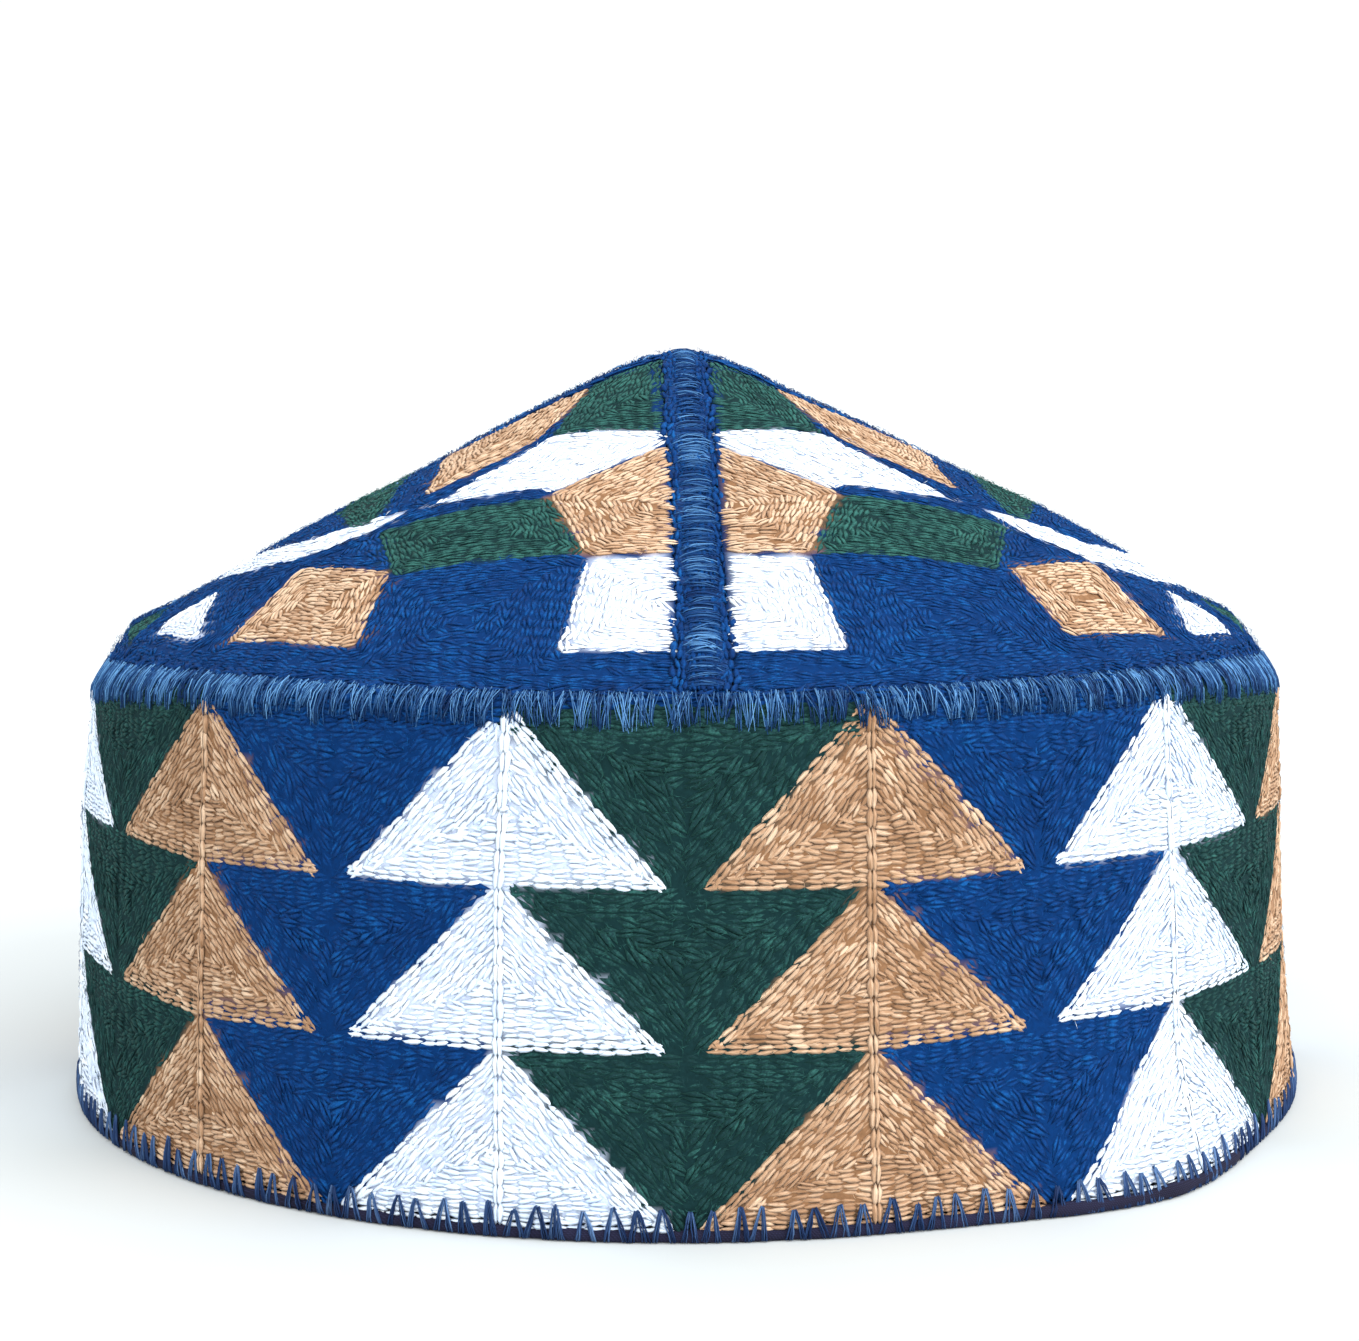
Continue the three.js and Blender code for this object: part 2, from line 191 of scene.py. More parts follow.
_arc = np.concatenate([[0], np.cumsum([math.hypot(b[0] - a[0], b[1] - a[1])
                                       for a, b in zip(SEAM_PROFILE, SEAM_PROFILE[1:])])])
CROWN_LENGTH = float(_arc[-1])
profile_r = smooth_table(list(zip(_arc, [p[0] for p in SEAM_PROFILE])))
profile_z = smooth_table(list(zip(_arc, [p[1] for p in SEAM_PROFILE])))
swell = smooth_table(PANEL_SWELL)


def profile_at(s):
    """r, z and the outward direction of the seam profile."""
    s = np.asarray(s, float)
    a, b = np.maximum(0, s - 0.3), np.minimum(CROWN_LENGTH, s + 0.3)
    dr, dz = profile_r(b) - profile_r(a), profile_z(b) - profile_z(a)
    n = np.hypot(dr, dz) + 1e-9
    return profile_r(s), profile_z(s), -dz / n, dr / n


def bell(a, b, spread):
    turn = (a - b + 540) % 360 - 180
    return np.exp(-(turn / spread) ** 2)


def sag(s, azimuth):
    drop = sum(d * np.exp(-((s - at) / width) ** 2) * bell(azimuth, az, spread) for at, width, az, spread, d in CROWN_SAGS)
    return drop * np.minimum(1, s / 8)


def smooth_step(t):
    t = np.clip(t, 0, 1)
    return t * t * (3 - 2 * t)


def at_sides(azimuth):
    return bell(azimuth, 90, EDGE_SWAY["spread"]) + bell(azimuth, 270, EDGE_SWAY["spread"])


def edge_sway(azimuth):
    return EDGE_SWAY["up"] - EDGE_SWAY["droop"] * at_sides(azimuth)


def crown_part(s):
    return smooth_step((s - EDGE_SWAY["s"]) / EDGE_SWAY["reach"])


def band_part(z):
    return smooth_step((z - EDGE_SWAY["z"]) / (BAND_TOP - EDGE_SWAY["z"]))


def crown_sway(s, azimuth):
    return edge_sway(azimuth) * crown_part(s)


def crown_tuck(s, azimuth):
    return EDGE_SWAY["tuck"] * at_sides(azimuth) * crown_part(s)


def band_height(z, azimuth):
    return z + edge_sway(azimuth) * band_part(z)


def crown_surface(s, local, out, azimuth):
    """Point of the crown: local azimuth in degrees from a seam, azimuth from the front seam."""
    r, z, nr, nz = profile_at(s)
    lift = swell(s) * np.abs(np.sin(np.radians(2 * local))) ** 0.8 + out
    real = azimuth + CROWN_TURN
    return r + nr * lift - crown_tuck(s, real), z + nz * lift - sag(s, azimuth) + crown_sway(s, real)


def panel_map(panel):
    """Maps flat panel coordinates x, y and a height to the hat."""
    def place(x, y, out):
        s = np.hypot(x, y)
        local = (np.degrees(np.arctan2(x, y)) + HALF_FLAT) / FLAT_RATIO
        around = panel["base"] + panel["way"] * local
        r, z = crown_surface(s, local, out, around)
        az = np.radians(CROWN_TURN + around)
        return np.stack([r * np.sin(az), -r * np.cos(az), z], -1)
    return place


def band_radius(z, az):
    taper = HEM_RADIUS + (BAND_TOP_RADIUS - HEM_RADIUS) * (z / BAND_TOP)
    middle = np.sin(np.pi * np.clip(z / BAND_TOP, 0, 1))
    uneven = sum(size * np.sin(np.radians(n * (az - turn))) for n, size, turn in BAND_WAVES)
    uneven = uneven + BAND_DENT[0] * bell(az, BAND_DENT[1], BAND_DENT[2])
    low = np.maximum(0, 1 - z / HEM_FLARE[3]) ** 1.5
    flare = HEM_FLARE[0] * low * bell(az, HEM_FLARE[1], HEM_FLARE[2])
    return taper + middle * uneven + flare - EDGE_SWAY["tuck"] * at_sides(az) * band_part(z)


BAND_R = 91.0        # radius at which the band is laid flat
BAND_LENGTH = 2 * math.pi * BAND_R


def band_map(u, z, out):
    az = u / BAND_R
    r = band_radius(z, np.degrees(az)) + out
    # above the band the needlework follows the crown's lower edge
    r = np.where(z > BAND_TOP + 0.3, r - (np.maximum(z - BAND_TOP - 0.3, 0) ** 2) * 0.12, r)
    return np.stack([r * np.sin(az), -r * np.cos(az), band_height(z, np.degrees(az))], -1)


def seam_wander(s):
    """How far the rows over the front seam lie to the right of it."""
    return np.interp(s, [0, 25, 50, 80, 105], [0.1, 0.2, 0.4, 0.0, -0.2])


def ridge_half(s):
    """Distance from a crown seam to the knobbly rows along it."""
    return np.interp(np.abs(s), [0, 25, 55, 95], [2.5, 3.0, 3.3, 3.3])


def ridge_map(azimuth, worked=False):
    """Maps arc length along a crown seam, distance across it and height; worked
    takes in the wandering of the rows over the front seam."""
    turn = math.radians(azimuth + CROWN_TURN)
    along = np.array([math.sin(turn), -math.cos(turn), 0.0])
    side = np.array([math.cos(turn), math.sin(turn), 0.0])

    def place(station, across, out):
        p_r, p_z, nr, nz = profile_at(np.abs(station))
        way = np.where(station < 0, -1.0, 1.0)
        drop = across * across * p_r / (2 * (p_r * p_r + 25))
        facing = np.where(station < 0, azimuth + 180.0, float(azimuth))
        r = way * (p_r - drop + nr * out - crown_tuck(np.abs(station), facing + CROWN_TURN))
        low = sag(np.abs(station), facing) - crown_sway(np.abs(station), facing + CROWN_TURN)
        if worked and azimuth == 0:
            across = across + np.where(station > 0, seam_wander(np.abs(station)), 0.1)
        return r[..., None] * along + across[..., None] * side + np.stack([0 * r, 0 * r, p_z + nz * out - low], -1)
    return place


def edge_seam_map(u, s, out):
    """Maps distance round the hat and arc length near the crown's lower edge."""
    r, z, nr, nz = profile_at(np.minimum(s, CROWN_LENGTH))
    over = np.maximum(s - CROWN_LENGTH, 0)
    az = u / 89.7
    lift = swell(s) * np.abs(np.sin(2 * (az - math.radians(CROWN_TURN)))) ** 0.8 + out
    rr = r + nr * lift + over * 0.04 - crown_tuck(np.minimum(s, CROWN_LENGTH), np.degrees(az))
    sway = crown_sway(np.minimum(s, CROWN_LENGTH), np.degrees(az))
    return np.stack([rr * np.sin(az), -rr * np.cos(az), z + nz * lift - over + sway], -1)


# ---- meshes -----------------------------------------------------------------------
class Batch:
    """Collects vertices and faces of many small closed things for one joined mesh."""

    def __init__(self):
        self.v, self.f, self.tone, self.uv, self.flat, self.smooth = [], [], [], [], [], []
        self.count = 0

    def add(self, verts, faces, tone, uv, flat, under=None):
        """verts (n, k, 3), faces (m, 3) of one thing, tone (n,) or (n, k), uv (k, 2),
        flat (n, k, 2); under (m,) marks the faces of the underside."""
        n, k = verts.shape[:2]
        if not n:
            return
        centre = verts - verts.mean(1, keepdims=True)
        volume = np.einsum("nmi,nmi->n", centre[:, faces[:, 0]], np.cross(centre[:, faces[:, 1]], centre[:, faces[:, 2]]))
        f = np.where((volume < 0)[:, None, None], faces[None, :, ::-1], faces[None])
        self.v.append(verts.reshape(-1, 3))
        self.f.append((f + (self.count + np.arange(n) * k)[:, None, None]).reshape(-1, 3))
        self.smooth.append(np.ones(n * len(faces), bool) if under is None else np.tile(~under, n))
        tone = np.asarray(tone, float)
        self.tone.append(tone.reshape(-1) if tone.ndim == 2 else np.repeat(tone, k))
        self.uv.append(np.tile(np.asarray(uv, float), (n, 1)) + np.repeat(RNG.integers(0, 40, n), k)[:, None] * np.array([1.0, 0.0]))
        self.flat.append(flat.reshape(-1, 2))
        self.count += n * k

    def triangles(self):
        return sum(len(f) for f in self.f)

    def make(self, name, material):
        v = np.concatenate(self.v) * 0.001
        f = np.concatenate(self.f)
        ob = mesh_object(name, v, f, material, np.concatenate(self.smooth))
        me = ob.data
        corner = f.reshape(-1)
        me.attributes.new("tone", "FLOAT", "POINT").data.foreach_set("value", np.concatenate(self.tone).astype(np.float32))
        uv = np.concatenate(self.uv)[corner].astype(np.float32)
        me.uv_layers.new(name="strand").data.foreach_set("uv", uv.reshape(-1))
        flat = np.concatenate(self.flat)
        low, high = flat.min(0), flat.max(0)
        flat = 0.002 + 0.996 * (flat - low) / np.maximum(high - low, 1e-6)
        me.uv_layers.new(name="OFBake").data.foreach_set("uv", flat[corner].astype(np.float32).reshape(-1))
        me.uv_layers["strand"].active_render = True
        return ob


def mesh_object(name, verts, faces, material, smooth=True):
    me = bpy.data.meshes.new(name)
    n, m = len(verts), len(faces)
    size = faces.shape[1]
    me.vertices.add(n)
    me.vertices.foreach_set("co", np.asarray(verts, np.float32).reshape(-1))
    me.loops.add(m * size)
    me.loops.foreach_set("vertex_index", np.asarray(faces, np.int32).reshape(-1))
    me.polygons.add(m)
    me.polygons.foreach_set("loop_start", np.arange(0, m * size, size, dtype=np.int32))
    me.polygons.foreach_set("use_smooth", np.broadcast_to(smooth, (m,)).copy())
    me.update(calc_edges=True)
    me.validate()
    me.materials.append(material)
    ob = bpy.data.objects.new(name, me)
    bpy.context.scene.collection.objects.link(ob)
    return ob


# One side of a chain stitch: a fat grain with a triangular section. The two sides
# touch over the stitch's length and part near its end, where the next one starts.
# Columns: place along the stitch, distance of its middle from the row's line, half
# width, height of its back, painted shade (the back lighter than the ends).
GRAIN_FINE = [(0.14, 0.15, 0.02, 0.34, 0.22, 0.62, 0.12, -0.1), (0.42, 0.05, 0.20, 0.34, 0.33, 0.70, 0.16, 0.2),
              (0.78, 0.00, 0.24, 0.30, 0.31, 0.66, 0.16, 0.0)]
GRAIN_PLAIN = [(0.20, 0.13, 0.03, 0.34, 0.25, 0.64, 0.12, 0.0), (0.70, 0.00, 0.22, 0.32, 0.33, 0.70, 0.16, 0.1)]
GRAIN_STEM = [(0.22, 0.00, 0.31, 0.28, 0.35, 0.56, 0.08, 0.0), (0.68, -0.04, 0.43, 0.30, 0.43, 0.70, 0.12, 0.2)]
GRAIN_SOFT = [(0.50, 0.03, 0.20, 0.32, 0.30, 0.76, 0.14, 0.0)]


def grain_template(rings):
    # Painted shade: the grain's start and tip are darker where it tucks under the next stitch, and its inner and outer
    # edges are darker where it meets its neighbours.
    pts, uv, tone = [(-0.06, 0.26, 0.10)], [(0.0, 0.5)], [-0.3]
    for u, inner, low, mid, top, outer, edge, shade in rings:
        pts += [(u, inner, low), (u, mid, top), (u, outer, edge)]
        uv += [(u, 0.0), (u, 0.5), (u, 1.0)]
        tone += [shade - 0.25, shade, shade - 0.15]
    pts.append((1.08, 0.22, 0.12))
    uv.append((1.0, 0.5))
    tone.append(-0.3)
    faces, under = [(0, 2, 1), (0, 3, 2), (0, 1, 3)], [False, False, True]
    for i in range(len(rings) - 1):
        a = 1 + 3 * i
        b = a + 3
        for j in range(3):
            k = (j + 1) % 3
            faces += [(a + j, a + k, b + k), (a + j, b + k, b + j)]
            under += [j == 2, j == 2]
    last = 1 + 3 * (len(rings) - 1)
    tip = last + 3
    for j in range(3):
        faces.append((last + j, last + (j + 1) % 3, tip))
        under.append(j == 2)
    return np.array(pts, float), np.array(faces), np.array(uv, float), np.array(tone, float), np.array(under)


TEMPLATES = {"fine": grain_template(GRAIN_FINE), "plain": grain_template(GRAIN_PLAIN), "stem": grain_template(GRAIN_STEM), "soft": grain_template(GRAIN_SOFT)}


def lay_stitches(batch, place, centres, tangents, kind, rng, lengths=None, lift=0.0, wide=1.0, tall=1.0, tone=0.0, loose=1.0):
    """Chain stitches at flat centres (n, 2) along flat tangents (n, 2)."""
    n = len(centres)
    if not n:
        return
    pts, faces, uv, shade, under = TEMPLATES[kind]
    soft = kind == "soft"
    length = (np.full(n, PITCH) if lengths is None else lengths) * (1.45 if soft else 1.2)
    turn = rng.normal(0, (0.1 if soft else 0.06) * loose, n)
    c, s = np.cos(turn), np.sin(turn)
    t = np.stack([tangents[:, 0] * c - tangents[:, 1] * s, tangents[:, 0] * s + tangents[:, 1] * c], -1)
    b = np.stack([-t[:, 1], t[:, 0]], -1)
    shift = rng.normal(0, 0.05 * loose, (n, 2))
    vary = 0.5 if soft else 1.0
    base_tone = tone + rng.normal(0, 0.55 * vary, n)
    lift = np.broadcast_to(np.asarray(lift, float), (n,))
    for side in (-1, 1):
        grow = 1 + rng.normal(0, 0.07 * loose, n)
        high = tall * (1 + rng.normal(0, 0.12 * loose, n))
        along = (pts[None, :, 0] - 0.5) * (length * (1 + rng.normal(0, 0.05, n)))[:, None]
        across = side * pts[None, :, 1] * wide * grow[:, None]
        flat = (centres + shift)[:, None, :] + along[..., None] * t[:, None, :] + across[..., None] * b[:, None, :]
        out = pts[None, :, 2] * np.where(pts[None, :, 2] > 0, high[:, None], 1) + lift[:, None]
        v = place(flat[..., 0], flat[..., 1], out)
        # the template's painted shade is added to each side's random tone
        batch.add(v, faces, (base_tone + rng.normal(0, 0.35 * vary, n))[:, None] + shade[None], uv, flat, under)


def along_path(path, pitch, phase=0.0, rng=None):
    """Evenly spaced places along a polyline: centres, tangents, stitch length."""
    path = np.asarray(path, float)
    seg = np.diff(path, axis=0)
    d = np.hypot(seg[:, 0], seg[:, 1])
    keep = np.concatenate([[True], d > 1e-6])
    path = path[keep]
    seg = np.diff(path, axis=0)
    d = np.hypot(seg[:, 0], seg[:, 1])
    total = d.sum()
    if total < pitch * 0.55:
        return np.zeros((0, 2)), np.zeros((0, 2)), pitch
    count = max(1, int(round(total / pitch)))
    step = total / count
    acc = np.concatenate([[0], np.cumsum(d)])
    marks = (np.arange(count) + 0.5) * step
    if rng is not None:
        marks = np.clip(marks + rng.uniform(-phase, phase) * step + rng.normal(0, 0.06 * step, count), 0, total)
    x = np.interp(marks, acc, path[:, 0])
    y = np.interp(marks, acc, path[:, 1])
    a = np.stack([np.interp(np.maximum(marks - step * 0.45, 0), acc, path[:, 0]), np.interp(np.maximum(marks - step * 0.45, 0), acc, path[:, 1])], -1)
    b = np.stack([np.interp(np.minimum(marks + step * 0.45, total), acc, path[:, 0]), np.interp(np.minimum(marks + step * 0.45, total), acc, path[:, 1])], -1)
    t = b - a
    t /= np.hypot(t[:, 0], t[:, 1])[:, None] + 1e-9
    return np.stack([x, y], -1), t, step


def threads(batch, points, normals, radius, tone, sides=3):
    """Round threads through points (n, k, 3); normals (n, k, 3) turn their section."""
    n, k = points.shape[:2]
    if not n:
        return
    t = np.gradient(points, axis=1)
    t /= np.linalg.norm(t, axis=-1, keepdims=True) + 1e-9
    side = np.cross(t, normals)
    side /= np.linalg.norm(side, axis=-1, keepdims=True) + 1e-9
    up = np.cross(side, t)
    radius = np.asarray(radius, float)
    radius = radius if radius.ndim == 2 else np.repeat(radius[:, None], k, 1)
    ang = np.arange(sides) * 2 * np.pi / sides + np.pi / 2
    ring = (points[:, :, None, :] + radius[:, :, None, None] * (np.cos(ang)[None, None, :, None] * side[:, :, None, :] + np.sin(ang)[None, None, :, None] * up[:, :, None, :]))
    v = ring.reshape(n, k * sides, 3)
    faces = []
    for i in range(k - 1):
        for j in range(sides):
            m = (j + 1) % sides
            a, b, c, d = i * sides + j, i * sides + m, (i + 1) * sides + m, (i + 1) * sides + j
            faces += [(a, b, c), (a, c, d)]
    for j in range(1, sides - 1):
        faces.append((0, j + 1, j))
        last = (k - 1) * sides
        faces.append((last, last + j, last + j + 1))
    uv = np.array([(i / (k - 1), j / sides) for i in range(k) for j in range(sides)])
    az = np.degrees(np.arctan2(v[..., 0], -v[..., 1]))
    flat = np.stack([az, v[..., 2]], -1)
    tone = np.asarray(tone, float)
    tone = np.repeat(tone, sides, 1) if tone.ndim == 2 else tone
    batch.add(v, np.array(faces), tone, uv, flat)


HAIR_FACES = np.array([(0, 2, 1), (0, 3, 2), (0, 1, 3), (1, 2, 4), (2, 3, 4), (3, 1, 4)])
HAIR_UV = np.array([(0, 0.5), (0.5, 0), (0.5, 0.5), (0.5, 1), (1, 0.5)], float)


def hairs(batch, place, spots, rng, length=1.4, height=0.75, thick=0.035, tone=1.2, lift=0.3):
    """Fine bent fibres that stand off the surface at flat spots (n, 2)."""
    n = len(spots)
    if not n:
        return
    way = rng.uniform(0, 2 * np.pi, n)
    bend = rng.normal(0, 0.6, n)
    size = length * rng.uniform(0.5, 1.5, n)
    top = height * rng.uniform(0.5, 1.25, n)
    x = np.stack([spots[:, 0], spots[:, 0] + 0.5 * size * np.cos(way), spots[:, 0] + 0.5 * size * (np.cos(way) + np.cos(way + bend))], 1)
    y = np.stack([spots[:, 1], spots[:, 1] + 0.5 * size * np.sin(way), spots[:, 1] + 0.5 * size * (np.sin(way) + np.sin(way + bend))], 1)
    out = np.stack([np.full(n, lift), top, lift + (top - lift) * rng.uniform(0.1, 1.3, n)], 1)
    p = place(x, y, out)
    up = place(x, y, out + 0.3) - p
    up /= np.linalg.norm(up, axis=-1, keepdims=True)
    t = p[:, 2] - p[:, 0]
    side = np.cross(t, up[:, 1])
    side /= np.linalg.norm(side, axis=-1, keepdims=True) + 1e-9
    r = (thick * rng.uniform(0.7, 1.3, n))[:, None]
    rows = [p[:, 0]] + [p[:, 1] + r * (math.cos(a) * side + math.sin(a) * up[:, 1]) for a in (0.0, 2.1, 4.2)] + [p[:, 2]]
    flat = np.stack([x, y], -1)[:, [0, 1, 1, 1, 2]]
    batch.add(np.stack(rows, 1), HAIR_FACES, tone + rng.normal(0, 0.8, n), HAIR_UV, flat)


# ---- materials ----------------------------------------------------------------------
def new_material(name):
    m = bpy.data.materials.new(name)
    m.use_nodes = True
    nt = m.node_tree
    bsdf = nt.nodes["Principled BSDF"]
    bsdf.inputs["Metallic"].default_value = 0.0
    return m, nt, bsdf


def node(nt, kind, **values):
    n = nt.nodes.new(kind)
    for key, value in values.items():
        if key.startswith("in_"):
            n.inputs[key[3:].replace("_", " ")].default_value = value
        else:
            setattr(n, key, value)
    return n


def mixed(nt, factor, a, b, blend="MIX"):
    m = nt.nodes.new("ShaderNodeMix")
    m.data_type = "RGBA"
    m.blend_type = blend
    if hasattr(factor, "links"):
        nt.links.new(factor, m.inputs[0])
    else:
        m.inputs[0].default_value = factor
    for value, socket in ((a, m.inputs[6]), (b, m.inputs[7])):
        if hasattr(value, "links"):
            nt.links.new(value, socket)
        else:
            socket.default_value = (*value, 1)
    return m.outputs[2]


def ramp(nt, value, stops):
    r = nt.nodes.new("ShaderNodeValToRGB")
    r.color_ramp.elements[0].position = stops[0][0]
    r.color_ramp.elements[0].color = (*stops[0][1], 1)
    r.color_ramp.elements[1].position = stops[-1][0]
    r.color_ramp.elements[1].color = (*stops[-1][1], 1)
    for pos, col in stops[1:-1]:
        e = r.color_ramp.elements.new(pos)
        e.color = (*col, 1)
    nt.links.new(value, r.inputs["Fac"])
    return r.outputs["Color"]


def maths(nt, operation, a, b=None, c=None):
    m = nt.nodes.new("ShaderNodeMath")
    m.operation = operation
    for value, socket in zip((a, b, c), m.inputs):
        if value is None:
            continue
        if hasattr(value, "links"):
            nt.links.new(value, socket)
        else:
            socket.default_value = value
    return m.outputs[0]


def yarn_material(name, dark, mid, light, sheen, sheen_tint, rough=0.85, fibres=1.0, bump=0.35, patch=0.7, coarse=0.0):
    """Wool yarn: each strand has its own tone, with painted shade and light added to it through the tone attribute,
    and fine fibres that run along it.
    """
    m, nt, bsdf = new_material(name)
    # the tone attribute carries each strand's random tone plus painted shade and light
    tone = node(nt, "ShaderNodeAttribute", attribute_name="tone", attribute_type="GEOMETRY")
    value = maths(nt, "MULTIPLY_ADD", tone.outputs["Fac"], 0.2, 0.5)
    coord = node(nt, "ShaderNodeTexCoord")
    patchy = node(nt, "ShaderNodeTexNoise", in_Scale=160.0, in_Detail=3.0, in_Roughness=0.6)
    nt.links.new(coord.outputs["Object"], patchy.inputs["Vector"])
    value = maths(nt, "ADD", value, maths(nt, "MULTIPLY_ADD", patchy.outputs["Fac"], patch, -0.5 * patch))
    fine = node(nt, "ShaderNodeTexNoise", in_Scale=3200.0, in_Detail=2.0, in_Roughness=0.6)
    nt.links.new(coord.outputs["Object"], fine.inputs["Vector"])
    if coarse:
        value = maths(nt, "ADD", value, maths(nt, "MULTIPLY_ADD", fine.outputs["Fac"], coarse, -0.5 * coarse))
    # fibres along the strand
    uv = node(nt, "ShaderNodeUVMap", uv_map="strand")
    stretch = node(nt, "ShaderNodeMapping")
    stretch.inputs["Scale"].default_value = (1.6, 4.5, 1.0)
    nt.links.new(uv.outputs["UV"], stretch.inputs["Vector"])
    streak = node(nt, "ShaderNodeTexNoise", in_Scale=1.0, in_Detail=3.0, in_Roughness=0.65)
    nt.links.new(stretch.outputs["Vector"], streak.inputs["Vector"])
    value = maths(nt, "ADD", value, maths(nt, "MULTIPLY_ADD", streak.outputs["Fac"], fibres, -0.5 * fibres))
    nt.links.new(ramp(nt, value, [(0.08, dark), (0.5, mid), (0.92, light)]), bsdf.inputs["Base Color"])
    height = maths(nt, "MULTIPLY_ADD", streak.outputs["Fac"], 1.2, fine.outputs["Fac"])
    bumpn = node(nt, "ShaderNodeBump", in_Strength=bump, in_Distance=0.00025)
    nt.links.new(height, bumpn.inputs["Height"])
    nt.links.new(bumpn.outputs["Normal"], bsdf.inputs["Normal"])
    bsdf.inputs["Roughness"].default_value = rough
    bsdf.inputs["Specular IOR Level"].default_value = 0.12
    bsdf.inputs["Sheen Weight"].default_value = sheen
    bsdf.inputs["Sheen Roughness"].default_value = 0.6
    bsdf.inputs["Sheen Tint"].default_value = (*sheen_tint, 1)
    return m


def srgb(r, g, b):
    def lin(c):
        c /= 255
        return c / 12.92 if c <= 0.04045 else ((c + 0.055) / 1.055) ** 2.4
    return (lin(r), lin(g), lin(b))


YARN = {
    "blue": yarn_material("yarn_blue", srgb(2, 36, 83), srgb(3, 56, 115), srgb(15, 92, 160), 0.09, srgb(40, 110, 210), patch=0.5, fibres=0.8, coarse=0.8, bump=0.25),
    "green": yarn_material("yarn_green", srgb(10, 34, 36), srgb(21, 50, 53), srgb(50, 100, 94), 0.13, srgb(90, 185, 165), patch=0.5, fibres=0.8, coarse=0.8, bump=0.25),
    "tan": yarn_material("yarn_tan", srgb(140, 103, 73), srgb(180, 143, 112), srgb(224, 196, 167), 0.1, srgb(255, 246, 235), fibres=1.4, bump=0.2),
    "white": yarn_material("yarn_white", srgb(200, 218, 244), srgb(226, 239, 254), srgb(247, 252, 255), 0.08, srgb(255, 255, 255), fibres=1.0, patch=0.4, bump=0.12),
}
THREAD = yarn_material("seam_thread", srgb(12, 42, 88), srgb(38, 84, 138), srgb(108, 164, 216), 0.05, srgb(150, 190, 235), rough=0.5, fibres=0.6, bump=0.3)
DARK_THREAD = yarn_material("ridge_thread", srgb(5, 37, 85), srgb(13, 65, 122), srgb(92, 146, 198), 0.05, srgb(150, 180, 220), rough=0.5, fibres=0.6, bump=0.3)
HEM_THREAD = yarn_material("hem_thread", srgb(18, 36, 74), srgb(42, 68, 112), srgb(96, 128, 172), 0.05, srgb(140, 170, 220), rough=0.55, fibres=0.6, bump=0.3)

# the cloth seen in the holes between the stitches, coloured as each yarn darkened: painted shade in the holes
GROUND_SHADE = {"blue": srgb(2, 46, 98), "green": srgb(17, 45, 47), "tan": srgb(138, 102, 73), "white": srgb(196, 208, 232)}


def ground_material():
    """The cloth between the stitches, coloured per vertex in the yarns' colours darkened as painted shade in the
    holes.
    """
    m, nt, bsdf = new_material("stitched_ground")
    col = node(nt, "ShaderNodeAttribute", attribute_name="ground", attribute_type="GEOMETRY")
    coord = node(nt, "ShaderNodeTexCoord")
    noise = node(nt, "ShaderNodeTexNoise", in_Scale=1500.0, in_Detail=3.0)
    nt.links.new(coord.outputs["Object"], noise.inputs["Vector"])
    shade = mixed(nt, noise.outputs["Fac"], (0.6, 0.6, 0.6), (1.3, 1.3, 1.3))
    nt.links.new(mixed(nt, 1.0, col.outputs["Color"], shade, "MULTIPLY"), bsdf.inputs["Base Color"])
    bumpn = node(nt, "ShaderNodeBump", in_Strength=0.6, in_Distance=0.0003)
    nt.links.new(noise.outputs["Fac"], bumpn.inputs["Height"])
    nt.links.new(bumpn.outputs["Normal"], bsdf.inputs["Normal"])
    bsdf.inputs["Roughness"].default_value = 0.95
    bsdf.inputs["Specular IOR Level"].default_value = 0.1
    return m


def cloth_material(name, base, dark, scale=900.0, bump=0.4, rough=0.9):
    """Plain woven cotton: crossing threads and slight mottling."""
    m, nt, bsdf = new_material(name)
    coord = node(nt, "ShaderNodeTexCoord")
    warp = node(nt, "ShaderNodeTexWave", wave_type="BANDS", bands_direction="Z", in_Scale=scale, in_Distortion=1.5, in_Detail=1.0)
    nt.links.new(coord.outputs["Object"], warp.inputs["Vector"])
    weft = node(nt, "ShaderNodeTexWave", wave_type="BANDS", bands_direction="DIAGONAL", in_Scale=scale, in_Distortion=1.5, in_Detail=1.0)
    nt.links.new(coord.outputs["Object"], weft.inputs["Vector"])
    mul = node(nt, "ShaderNodeMath", operation="MULTIPLY")
    nt.links.new(warp.outputs["Fac"], mul.inputs[0])
    nt.links.new(weft.outputs["Fac"], mul.inputs[1])
    patchy = node(nt, "ShaderNodeTexNoise", in_Scale=60.0, in_Detail=4.0)
    nt.links.new(coord.outputs["Object"], patchy.inputs["Vector"])
    add = node(nt, "ShaderNodeMath", operation="MULTIPLY_ADD")
    add.inputs[1].default_value = 0.5
    nt.links.new(mul.outputs[0], add.inputs[0])
    half = node(nt, "ShaderNodeMath", operation="MULTIPLY")
    half.inputs[1].default_value = 0.6
    nt.links.new(patchy.outputs["Fac"], half.inputs[0])
    nt.links.new(half.outputs[0], add.inputs[2])
    nt.links.new(ramp(nt, add.outputs[0], [(0.15, dark), (0.7, base)]), bsdf.inputs["Base Color"])
    b = node(nt, "ShaderNodeBump", in_Strength=bump, in_Distance=0.0002)
    nt.links.new(mul.outputs[0], b.inputs["Height"])
    nt.links.new(b.outputs["Normal"], bsdf.inputs["Normal"])
    bsdf.inputs["Roughness"].default_value = rough
    bsdf.inputs["Specular IOR Level"].default_value = 0.2
    return m


GROUND_MATERIAL = ground_material()
INNER = cloth_material("inner_cloth", srgb(196, 188, 172), srgb(150, 140, 124))
HEM_CLOTH = cloth_material("hem_cloth", srgb(38, 38, 66), srgb(20, 19, 34), scale=1300.0)
SEAM_GROUND = cloth_material("seam_ground", srgb(18, 66, 124), srgb(8, 34, 76), scale=700.0)


def body(ob, slot, *nodes):
    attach(ob, "root")
    if nodes:
        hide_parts(*nodes)
    return ob


